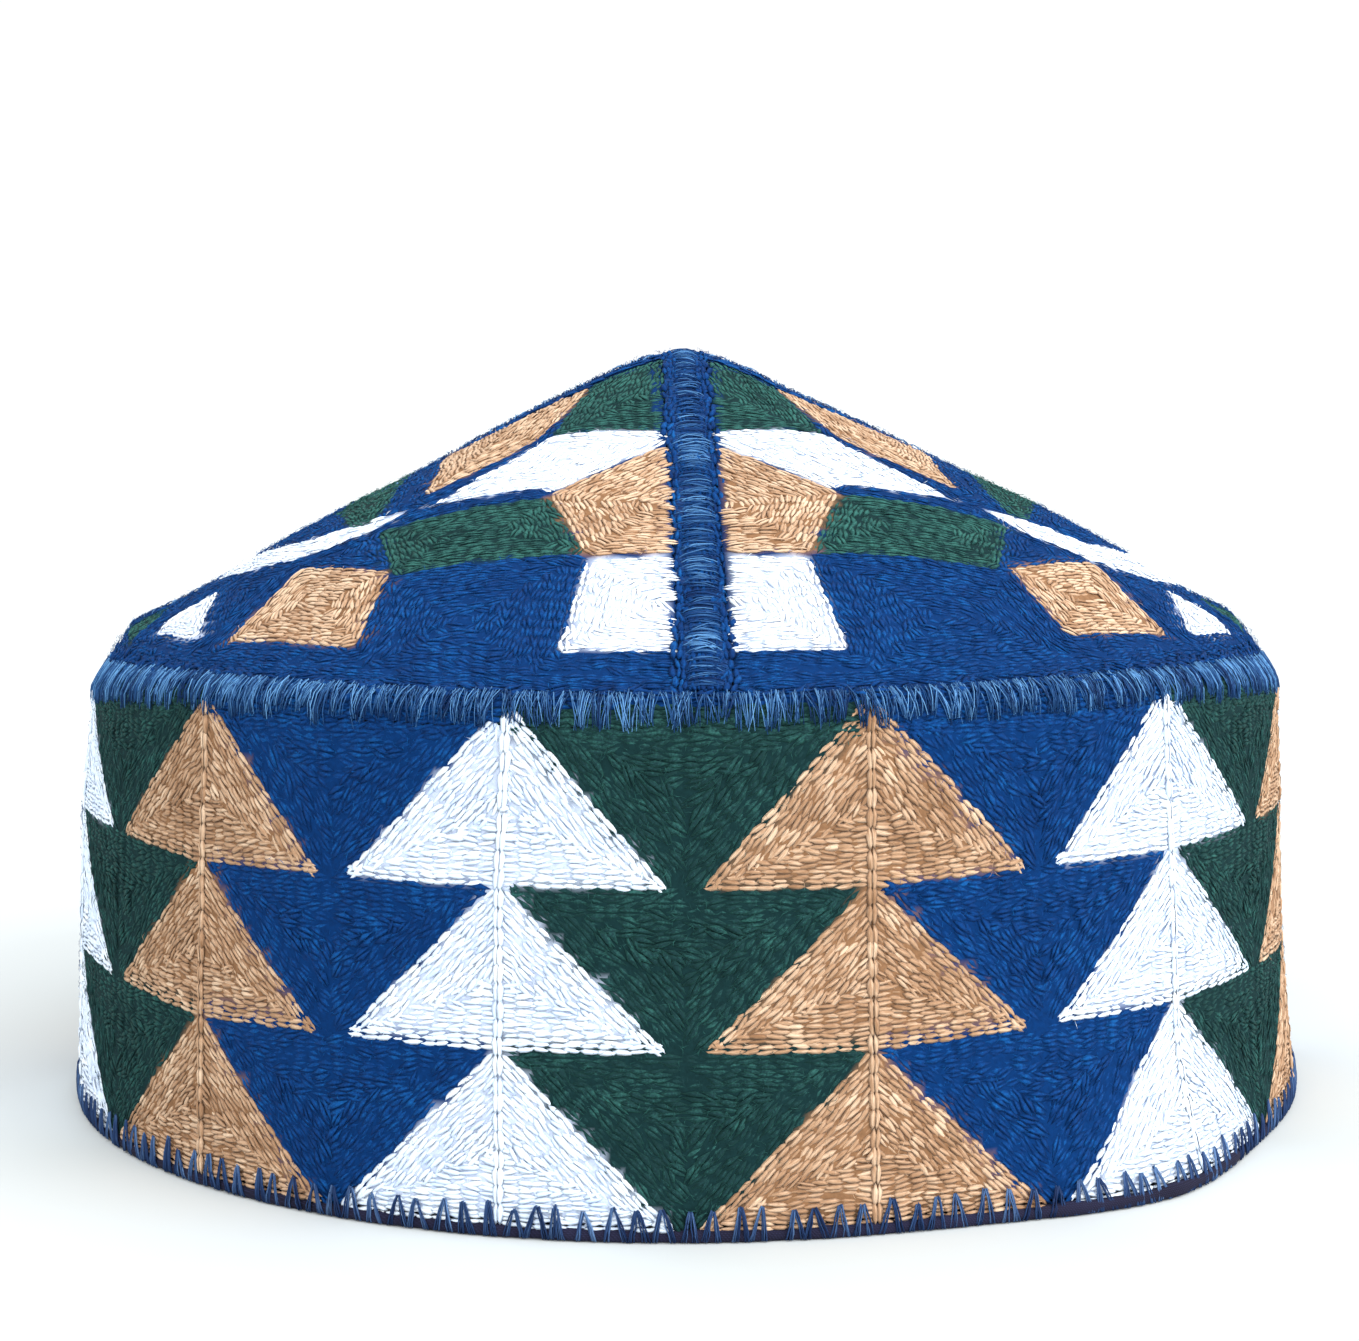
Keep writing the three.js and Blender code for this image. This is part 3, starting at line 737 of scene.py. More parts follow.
# ---- ground shells ---------------------------------------------------------------------
def shell(name, outer, inner, colours, closed_round):
    """Closed shell from an outer grid (rows, cols, 3) and an inner grid with the
    same number of columns. colours (rows, cols, 3) tint the outer face."""
    ro, c = outer.shape[:2]
    ri = inner.shape[0]
    v = np.concatenate([outer.reshape(-1, 3), inner.reshape(-1, 3)])
    io = np.arange(ro * c).reshape(ro, c)
    ii = ro * c + np.arange(ri * c).reshape(ri, c)
    quads, mats = [], []

    def sheet(idx, flip, mat):
        a, b = idx[:-1], idx[1:]
        if closed_round:
            a2, b2 = np.roll(a, -1, 1), np.roll(b, -1, 1)
        else:
            a, b, a2, b2 = a[:, :-1], b[:, :-1], a[:, 1:], b[:, 1:]
        q = np.stack([a, b, b2, a2], -1).reshape(-1, 4)
        if flip:
            q = q[:, ::-1]
        quads.append(q)
        mats.append(np.full(len(q), mat))
    sheet(io, False, 0)
    sheet(ii, True, 1)
    for top, (o_row, i_row) in ((True, (io[0], ii[0])), (False, (io[-1], ii[-1]))):
        pair = np.stack([i_row, o_row]) if top else np.stack([o_row, i_row])
        sheet(pair, False, 0)
    if not closed_round:
        # the two side edges: a fan of quads between columns with as many rows
        rows_i = np.round(np.linspace(0, ri - 1, ro)).astype(int)
        for col, flip in ((0, False), (c - 1, True)):
            o = io[:, col]
            i = ii[rows_i, col]
            tri = []
            for k in range(ro - 1):
                tri.append((o[k], i[k], i[k + 1], o[k + 1]))
            q = np.array(tri)
            if flip:
                q = q[:, ::-1]
            quads.append(q)
            mats.append(np.full(len(q), 0))
    q = np.concatenate(quads)
    mat = np.concatenate(mats)
    # split into triangles, dropping those that have no area
    t = np.concatenate([q[:, [0, 1, 2]], q[:, [0, 2, 3]]])
    tm = np.concatenate([mat, mat])
    good = (t[:, 0] != t[:, 1]) & (t[:, 1] != t[:, 2]) & (t[:, 0] != t[:, 2])
    t, tm = t[good], tm[good]
    a, b, d = v[t[:, 0]], v[t[:, 1]], v[t[:, 2]]
    if np.einsum("ij,ij->", a, np.cross(b, d)) < 0:
        t = t[:, ::-1]
    ob = mesh_object(name, v * 0.001, t, GROUND_MATERIAL)
    me = ob.data
    me.materials.append(INNER)
    me.polygons.foreach_set("material_index", tm.astype(np.int32))
    col = np.ones((len(v), 4), np.float32)
    col[:ro * c, :3] = colours.reshape(-1, 3)
    col[ro * c:, :3] = (0.3, 0.28, 0.24)
    me.attributes.new("ground", "FLOAT_COLOR", "POINT").data.foreach_set("color", col.reshape(-1))
    return ob


# ---- the pattern ------------------------------------------------------------------------
def column_shift(c, t):
    """Hand shift of a column at a tier line: sideways, up."""
    key = ((c + 12) % COLUMNS) - 12
    if key in HAND_SHIFT:
        return HAND_SHIFT[key][t]
    return (0.45 * math.sin(c * 2.3 + 0.4 + t * 0.9), 0.5 * math.sin(c * 1.7 + 1.1 + t * 0.5) if 0 < t < 3 else 0.0)


def column_u(c, t):
    return (c * 360 / COLUMNS) * math.pi / 180 * BAND_R + column_shift(c, t)[0]


def tier_z(c, t):
    return TIERS[t] + column_shift(c, t)[1]


def colour_of(c):
    return TREE[c % 4] if c % 2 else VALLEY[c % 4]


def half_cells():
    """Each half triangle of the band: colour, far corner, end of its straight edge
    on the middle line, end of its slanted edge, 1 for a tree or -1 for a valley."""
    for tree in range(1, COLUMNS, 2):
        for side in (-1, 1):
            valley = tree + side
            for t in range(3):
                u0, u1 = (column_u(tree if tree < 12 else tree - COLUMNS, line) for line in (t, t + 1))
                v0, v1 = column_u(valley, t), column_u(valley, t + 1)
                if abs(v0 - u0) > BAND_LENGTH / 2:
                    turn = math.copysign(BAND_LENGTH, v0 - u0)
                    v0, v1 = v0 - turn, v1 - turn
                z_t0, z_t1 = tier_z(tree, t), tier_z(tree, t + 1)
                z_v0, z_v1 = tier_z(valley, t), tier_z(valley, t + 1)
                gap = VALLEY_GAP - (0.8 if t == 0 else 0.0)
                corner = (v0 - side * gap, z_v0)
                blunt = 0.5 if t == 2 else 0.0
                yield colour_of(tree), corner, (u0, z_t0), (u1 + side * (0.5 + blunt), z_t1 + blunt), 1
                yield colour_of(valley), (u1 + side * (0.9 + blunt), z_t1 + blunt), (v1, z_v1 + blunt), (v0 - side * gap, z_v0), -1


def inset_arms(corner, straight_end, slant_end, d, middle_u, tuck=0.7):
    """The two arms of one row of a half triangle, worked at distance d inside its
    edges. Each arm runs from the far corner to the middle line, and is tucked a
    little past the other arm at the corner."""
    corner, a, b = (np.array(p, float) for p in (corner, straight_end, slant_end))
    inside = (a + b) / 2

    def offset(p, q):
        t = (q - p) / np.linalg.norm(q - p)
        n = np.array([-t[1], t[0]])
        if np.dot(n, inside - p) < 0:
            n = -n
        return p + n * d, t
    p1, t1 = offset(corner, a)
    p2, t2 = offset(corner, b)
    m = np.array([t1, -t2]).T
    k = np.linalg.solve(m, p2 - p1)
    join = p1 + t1 * k[0]
    sign = np.sign(a[0] - corner[0])
    reach1 = (middle_u - join[0]) / t1[0]
    span2 = np.dot(b - p2, t2)
    reach2 = (middle_u - p2[0]) / t2[0] if t2[0] * sign > 1e-6 else 1e9
    end1 = join + t1 * reach1
    end2 = p2 + t2 * min(span2, reach2)
    arms = []
    if (end1[0] - join[0]) * sign > 0.2:
        arms.append(np.array([join - t1 * tuck, end1]))
    if np.dot(end2 - join, t2) > 0.2:
        arms.append(np.array([join - t2 * tuck, end2]))
    return arms


def build_band():
    rng = np.random.default_rng(11)
    batches = {c: Batch() for c in YARN}
    for colour, corner, straight, slant, kind in half_cells():
        middle = straight[0]
        side = np.sign(corner[0] - middle)
        start = middle + side * (0.4 if kind > 0 else 0.3)
        light = colour in ("tan", "white")
        for i in range(10):
            arms = inset_arms(corner, straight, slant, ROW * (i + 0.5), start)
            for arm in arms:
                c, t, step = along_path(arm, PITCH, 0.0 if light else 0.35, rng=rng)
                n = len(c)
                lay_stitches(batches[colour], band_map, c, t, "soft" if not light else "fine" if abs(middle) < BAND_LENGTH * 0.26 else "plain", rng,
                             lengths=np.full(n, step), tall=1.0 if light else 0.85, tone=0.0 if i else 0.1,
                             lift=rng.normal(0, 0.04, n) + (0.2 * rng.random(n) ** 3 if i > 3 else 0), loose=1.4 + 0.15 * i)
            if not arms:
                break
    # the raised row down the middle of each tree, and the flat one down each valley
    for col in range(COLUMNS):
        tree = col % 2 == 1
        colour = colour_of(col)
        path = [(column_u(col, t), TIERS[t] + (0.4 if t == 0 else 0.0)) for t in range(4)]
        if tree:
            path.append((path[-1][0], TIERS[3] + 0.8))
        c, t, step = along_path(path, 2.35 if tree else 2.2, rng=rng)
        n = len(c)
        lay_stitches(batches[colour], band_map, c, t, "stem" if tree else "soft", rng, lengths=np.full(n, step),
                     lift=0.2 if tree else -0.12, wide=1.12 if tree else 0.9, tall=1.05 if tree else 0.8, tone=0.15 if tree else -0.3)
    # ground shell
    cols, rows = 300, 26
    az = np.arange(cols) * 2 * np.pi / cols
    z = np.linspace(HEM_HEIGHT + SEAM_GAP, BAND_TOP, rows)
    uu, zz = np.meshgrid(az * BAND_R, z)
    outer = band_map(uu, zz, 0.13)
    zi = np.linspace(HEM_HEIGHT + SEAM_GAP, BAND_TOP, 8)
    ui, zzi = np.meshgrid(az * BAND_R, zi)
    inner = band_map(ui, zzi, -WALL)
    return batches, shell("band_ground", outer, inner, band_colours(uu, zz), True)


def band_colours(u, z):
    """Ground colour at flat points of the band: each yarn darkened, painted shade in the holes."""
    out = np.zeros(u.shape + (3,))
    width = BAND_LENGTH / COLUMNS
    cell = np.floor(u / width).astype(int)
    frac = u / width - cell
    for c in range(COLUMNS):
        left, right = c, (c + 1) % COLUMNS
        m = cell == c
        tree_left = left % 2 == 1
        tree, valley = (left, right) if tree_left else (right, left)
        x = np.where(tree_left, frac, 1 - frac) * width      # distance from the tree's middle
        is_tree = np.zeros(u.shape, bool)
        for t in range(3):
            z0, z1 = TIERS[t], TIERS[t + 1]
            h = (z - z0) / (z1 - z0)
            reach = (width - VALLEY_GAP) * (1 - h) - 0.7 + 1.3 * h ** 3
            is_tree |= (z > z0 + 0.6) & (h < 1) & (x < reach)
        out[m & is_tree] = GROUND_SHADE[colour_of(tree)]
        out[m & ~is_tree] = GROUND_SHADE[colour_of(valley)]
    return out


# ---- crown panels -------------------------------------------------------------------------
def inside_polygon(x, y, poly):
    hit = np.zeros(x.shape, bool)
    n = len(poly)
    for i in range(n):
        (x0, y0), (x1, y1) = poly[i], poly[(i + 1) % n]
        if y0 == y1:
            continue
        cross = ((y0 > y) != (y1 > y)) & (x < (x1 - x0) * (y - y0) / (y1 - y0) + x0)
        hit ^= cross
    return hit


def segment_distance(x, y, p, q):
    (x0, y0), (x1, y1) = p, q
    dx, dy = x1 - x0, y1 - y0
    t = np.clip(((x - x0) * dx + (y - y0) * dy) / (dx * dx + dy * dy + 1e-12), 0, 1)
    return np.hypot(x - x0 - t * dx, y - y0 - t * dy)


def prepared_patches(panel):
    out = []
    own = LEFT_OUTLINES if panel["node"] == "crown_panel_front_left" else {}
    for p in PATCHES:
        pts = [np.array(q, float) for q in own.get(p["name"], p["outline"])]
        if p["cap"] is None:
            edges = [(pts[i], pts[(i + 1) % len(pts)]) for i in range(len(pts))]
            poly = pts
        else:
            a = pts[0] + 7 * (pts[0] - pts[1]) / np.linalg.norm(pts[0] - pts[1])
            b = pts[-1] + 7 * (pts[-1] - pts[-2]) / np.linalg.norm(pts[-1] - pts[-2])
            pts = [a] + pts + [b]
            edges = [(pts[i], pts[i + 1]) for i in range(len(pts) - 1)]
            poly = pts + [np.array(q, float) for q in p["cap"]]
        out.append((p["colour"], [tuple(q) for q in poly], [(tuple(a), tuple(b)) for a, b in edges]))
    return out


def seam_distance(x, y, wander=0.0):
    """Distance of a flat point from the nearer seam of its panel; wander is how far
    the rows along the front or back seam have moved towards the panel."""
    h = math.radians(HALF_FLAT)
    front = x * math.cos(h) + y * math.sin(h)
    side = -x * math.cos(h) + y * math.sin(h)
    return np.minimum(front - wander, side)


def contours(field, valid, level, x0, y0, step):
    """Lines of equal distance, as linked polylines (marching squares)."""
    f = field - level
    ok = valid[:-1, :-1] & valid[:-1, 1:] & valid[1:, :-1] & valid[1:, 1:]
    a, b, c, d = f[:-1, :-1] > 0, f[:-1, 1:] > 0, f[1:, 1:] > 0, f[1:, :-1] > 0
    code = a * 1 + b * 2 + c * 4 + d * 8
    cells = np.argwhere(ok & (code > 0) & (code < 15))
    # edges: 0 top, 1 right, 2 bottom, 3 left
    pairs = {1: [(3, 0)], 2: [(0, 1)], 3: [(3, 1)], 4: [(1, 2)], 5: [(3, 0), (1, 2)], 6: [(0, 2)], 7: [(3, 2)],
             8: [(2, 3)], 9: [(0, 2)], 10: [(0, 1), (2, 3)], 11: [(1, 2)], 12: [(1, 3)], 13: [(0, 1)], 14: [(3, 0)]}
    link = {}

    def key(i, j, e):
        return (i, j, 0) if e == 0 else (i, j + 1, 1) if e == 1 else (i + 1, j, 0) if e == 2 else (i, j, 1)
    for i, j in cells:
        for e1, e2 in pairs[int(code[i, j])]:
            k1, k2 = key(i, j, e1), key(i, j, e2)
            link.setdefault(k1, []).append(k2)
            link.setdefault(k2, []).append(k1)

    def point(k):
        i, j, kind = k
        if kind == 0:
            fa, fb = f[i, j], f[i, j + 1]
            t = fa / (fa - fb) if fa != fb else 0.5
            return (x0 + (j + t) * step, y0 + i * step)
        fa, fb = f[i, j], f[i + 1, j]
        t = fa / (fa - fb) if fa != fb else 0.5
        return (x0 + j * step, y0 + (i + t) * step)
    seen, lines = set(), []
    ends = [k for k, v in link.items() if len(v) == 1]
    for start in ends + list(link):
        if start in seen:
            continue
        line, here, prev = [start], start, None
        seen.add(start)
        while True:
            nxt = [k for k in link[here] if k != prev and k not in seen]
            if not nxt:
                if start in link[here] and len(line) > 4 and start != prev:
                    line.append(start)
                break
            prev, here = here, nxt[0]
            seen.add(here)
            line.append(here)
        if len(line) > 3:
            lines.append(np.array([point(k) for k in line]))
    return lines


def smoothed(line, times=2):
    closed = np.allclose(line[0], line[-1], atol=0.5)
    for _ in range(times):
        new = line.copy()
        new[1:-1] = 0.25 * line[:-2] + 0.5 * line[1:-1] + 0.25 * line[2:]
        if closed:
            m = 0.25 * line[-2] + 0.5 * line[0] + 0.25 * line[1]
            new[0] = new[-1] = m
        line = new
    return line


GRID = 0.32
GX = np.arange(-66, 66 + GRID, GRID)
GY = np.arange(0, 98, GRID)


def panel_side(panel):
    """1 or -1 where the front seam's rows move towards or away from the panel, or 0."""
    return 0 if panel["base"] else panel["way"]


def panel_rows(panel):
    """Rows of stitches of a whole panel: list of (colour, polyline)."""
    x, y = np.meshgrid(GX, GY)
    patches = prepared_patches(panel)
    s = np.hypot(x, y)
    near = seam_distance(x, y, panel_side(panel) * seam_wander(s))
    clear = (near > ridge_half(s) + 0.1) & (s < CROWN_EDGE + 0.3)
    taken = np.zeros(x.shape, bool)
    rows = []
    all_edges = []
    for colour, poly, edges in patches:
        inside = inside_polygon(x, y, poly) & ~taken
        taken |= inside
        all_edges += edges
        dist = np.full(x.shape, 1e9)
        for p, q in edges:
            dist = np.minimum(dist, segment_distance(x, y, p, q))
        valid = inside & clear
        for k in range(12):
            level = CROWN_ROW * (k + 0.5)
            if not (valid & (dist > level)).any():
                break
            for line in contours(dist, valid, level, GX[0], GY[0], GRID):
                rows.append((colour, smoothed(line)))
    dist = CROWN_EDGE + 0.2 - s
    for p, q in all_edges:
        dist = np.minimum(dist, segment_distance(x, y, p, q))
    valid = ~taken & clear
    for k in range(16):
        level = CROWN_ROW * (k + 0.5)
        if not (valid & (dist > level)).any():
            break
        for line in contours(dist, valid, level, GX[0], GY[0], GRID):
            rows.append(("blue", smoothed(line)))
    return rows, patches


def build_crown():
    rng = np.random.default_rng(23)
    batches = {c: Batch() for c in YARN}
    known = {}
    for panel in PANELS:
        place = panel_map(panel)
        if panel_side(panel) not in known:
            known[panel_side(panel)] = panel_rows(panel)
        rows, patches = known[panel_side(panel)]
        for colour, line in rows:
            if rng.random() < 0.5:
                line = line[::-1]
            c, t, step = along_path(line, CROWN_PITCH, 0.3, rng=rng)
            if not len(c):
                continue
            light = colour in ("tan", "white")
            # the crown's yarns get higher tone values than the band's: painted light, the top of the hat lighter as
            # light falls from above
            lay_stitches(batches[colour], place, c, t, "soft" if not light else "fine" if colour == "tan" and panel["base"] == 0 else "plain", rng, lengths=np.full(len(c), step),
                         tall=1.0 if light else 0.9, wide=CROWN_ROW / ROW * 1.02, loose=1.8,
                         lift=rng.normal(0, 0.04, len(c)) + 0.5 * np.clip(SEAM_HALF + 0.2 - seam_distance(c[:, 0], c[:, 1]), 0, 1),
                         tone={"green": 1.3, "blue": 0.1, "tan": 0.75, "white": 1.0}[colour])
        # ground shell of the panel
        rows_n, cols_n = 48, 38

        def grid(out, count):
            start = 5.6 if out > -1 else 6.9
            g = []
            for k in range(count):
                sk = start + (CROWN_EDGE - start) * k / (count - 1)
                r, z, nr, nz = profile_at(sk)
                edge = math.degrees(math.asin(min(1, (SEAM_HALF + 0.25) / float(r + nr * out))))
                local = edge + (90 - 2 * edge) * np.linspace(0, 1, cols_n)
                around = panel["base"] + panel["way"] * local
                rr, zz = crown_surface(np.full(cols_n, sk), local, out, around)
                az = np.radians(CROWN_TURN + around)
                flat = np.radians(local * FLAT_RATIO - HALF_FLAT)
                g.append((np.stack([rr * np.sin(az), -rr * np.cos(az), zz], -1), np.stack([sk * np.sin(flat), sk * np.cos(flat)], -1)))
            return np.array([q[0] for q in g]), np.array([q[1] for q in g])
        outer, flat = grid(0.12, rows_n)
        inner, _ = grid(-WALL, 12)
        # ground colours of the patches, each yarn darkened: painted shade in the holes between the stitches
        colours = np.zeros(flat.shape[:2] + (3,))
        colours[:] = GROUND_SHADE["blue"]
        free = np.ones(flat.shape[:2], bool)
        for colour, poly, _ in patches:
            m = inside_polygon(flat[..., 0], flat[..., 1], poly) & free
            colours[m & (seam_distance(flat[..., 0], flat[..., 1]) > SEAM_HALF + 1.4)] = GROUND_SHADE[colour]
            free &= ~m
        ob = shell(panel["node"].replace("crown_panel", "crown_ground"), outer, inner, colours, False)
        body(ob, "yarn_blue", panel["node"])
    return batches


# ---- seams ----------------------------------------------------------------------------------
def ridge_solid(name, azimuth, stations, nodes):
    """Rounded ridge of a crown seam, a closed solid of fine facets."""
    place = ridge_map(azimuth)
    section = []
    for k in range(13):
        a = math.pi * (k / 12)
        section.append((-SEAM_HALF * math.cos(a), 0.05 + (SEAM_RISE - 0.25) * math.sin(a) ** 0.7))
    section += [(SEAM_HALF, -WALL), (0.0, -WALL), (-SEAM_HALF, -WALL)]
    sec = np.array(section)
    st, ac = np.meshgrid(stations, sec[:, 0], indexing="ij")
    _, out = np.meshgrid(stations, sec[:, 1], indexing="ij")
    out = out + np.where(out > 0, 0.08 * np.sin(st * 2.1) + 0.05 * np.sin(st * 5.3 + ac), 0)
    v = place(st, ac, out)
    n, k = v.shape[:2]
    idx = np.arange(n * k).reshape(n, k)
    a, b = idx[:-1], idx[1:]
    a2, b2 = np.roll(a, -1, 1), np.roll(b, -1, 1)
    q = np.stack([a, b, b2, a2], -1).reshape(-1, 4)
    tri = np.concatenate([q[:, [0, 1, 2]], q[:, [0, 2, 3]]])
    caps = []
    for j in range(1, k - 1):
        caps.append((idx[0, 0], idx[0, j], idx[0, j + 1]))
        caps.append((idx[-1, 0], idx[-1, j + 1], idx[-1, j]))
    tri = np.concatenate([tri, np.array(caps)])
    vv = v.reshape(-1, 3)
    if np.einsum("ij,ij->", vv[tri[:, 0]], np.cross(vv[tri[:, 1]], vv[tri[:, 2]])) < 0:
        tri = tri[:, ::-1]
    ob = mesh_object(name, vv * 0.001, tri, SEAM_GROUND)
    return body(ob, "seam_thread", *nodes)


def build_ridges(fuzz):
    rng = np.random.default_rng(31)
    border, over = Batch(), Batch()
    seams = [(0, np.linspace(-CROWN_EDGE, CROWN_EDGE, 150), "crown_seam_front_back"),
             (90, np.linspace(2.6, CROWN_EDGE, 74), "crown_seam_right"),
             (270, np.linspace(2.6, CROWN_EDGE, 74), "crown_seam_left")]
    for azimuth, stations, name in seams:
        ridge_solid(name.replace("crown_seam", "seam_ridge"), azimuth, stations, [name])
        place = ridge_map(azimuth, worked=True)
        low, high = stations[0], stations[-1]
        # a knobbly chain row along each border of the ridge
        for side in (-1, 1):
            along = np.linspace(low + 0.3, high + 1.2, 80)
            c, t, step = along_path(np.stack([along, side * ridge_half(along)], -1), 2.0, rng=rng)
            n = len(c)
            c[:, 1] += side * 0.25 * np.sin(c[:, 0] * 0.9) + rng.normal(0, 0.12, n)
            lay_stitches(border, place, c, t, "fine", rng, lengths=np.full(n, step * 1.1), lift=0.25 + rng.normal(0, 0.08, n),
                         wide=1.3, tall=1.4, tone=-0.2, loose=2.0)
        # plain rows that cover the ridge between them
        for lane in (-2.2, -1.1, 0.0, 1.1, 2.2):
            c, t, step = along_path([(low + 0.3, lane), (high + 0.6, lane)], 2.3, rng=rng)
            lay_stitches(border, place, c, t, "plain", rng, lengths=np.full(len(c), step), lift=0.62 - 0.03 * lane ** 2, tall=0.7, wide=1.1, tone=-0.5, loose=2)
        # overcast threads, in loose groups across the ridge
        k = 6
        spots = np.arange(low + 0.8, high + 0.5, 0.7)
        spots = spots + rng.normal(0, 0.14, len(spots))
        st_list, ac_list, out_list, tone, rad = [], [], [], [], []
        for spot in spots:
            lean = rng.normal(0.1, 0.5)
            group = rng.normal(-0.3, 0.8)
            for strand in range(2 if rng.random() < 0.6 else 3):
                shift = (strand - 1) * 0.22 + rng.normal(0, 0.1)
                half = float(ridge_half(spot)) - 0.5 + rng.normal(0, 0.3)
                ac = np.linspace(-half, half, k)
                bow = 0.4 * (1 - (ac / half) ** 2) * (1 if spot > 0 else -1)
                st_list.append(spot + shift + lean * ac / half - bow + rng.normal(0, 0.05, k))
                ac_list.append(ac + rng.normal(0.0, 0.12))
                e = np.abs(ac / half)
                out_list.append(SEAM_RISE + 0.12 - 0.75 * e ** 3 + rng.normal(0, 0.06) + rng.normal(0, 0.03, k))
                # painted light and shade: each thread lighter over the ridge's top and darker towards its sides
                tone.append(group + rng.normal(0, 0.8) + 0.5 - 1.2 * e ** 2)
                rad.append(0.065 + 0.03 * rng.random())
        st, ac, out = np.array(st_list), np.array(ac_list), np.array(out_list)
        p = place(st, ac, out)
        nrm = place(st, ac, out + 0.5) - p
        nrm /= np.linalg.norm(nrm, axis=-1, keepdims=True)
        threads(over, p, nrm, np.array(rad), np.array(tone))
        n = int((high - low) * 5)
        spots = np.stack([rng.uniform(low, high, n), rng.choice([-1, 1], n) * rng.uniform(1.4, 3.6, n)], -1)
        hairs(fuzz["blue"], place, spots, rng, length=1.1, height=1.15, lift=0.6, tone=0.6)
    body(border.make("seam_border_rows", YARN["blue"]), "yarn_blue")
    body(over.make("seam_overcast", DARK_THREAD), "seam_thread")


EDGE_R = 89.7


def ring_height(s):
    f = np.clip((s - CROWN_EDGE - 0.3) / (CROWN_LENGTH - CROWN_EDGE - 0.3), 0, 1)
    return 0.05 + (SEAM_RISE - 0.5) * np.sin(np.pi * f) ** 0.6


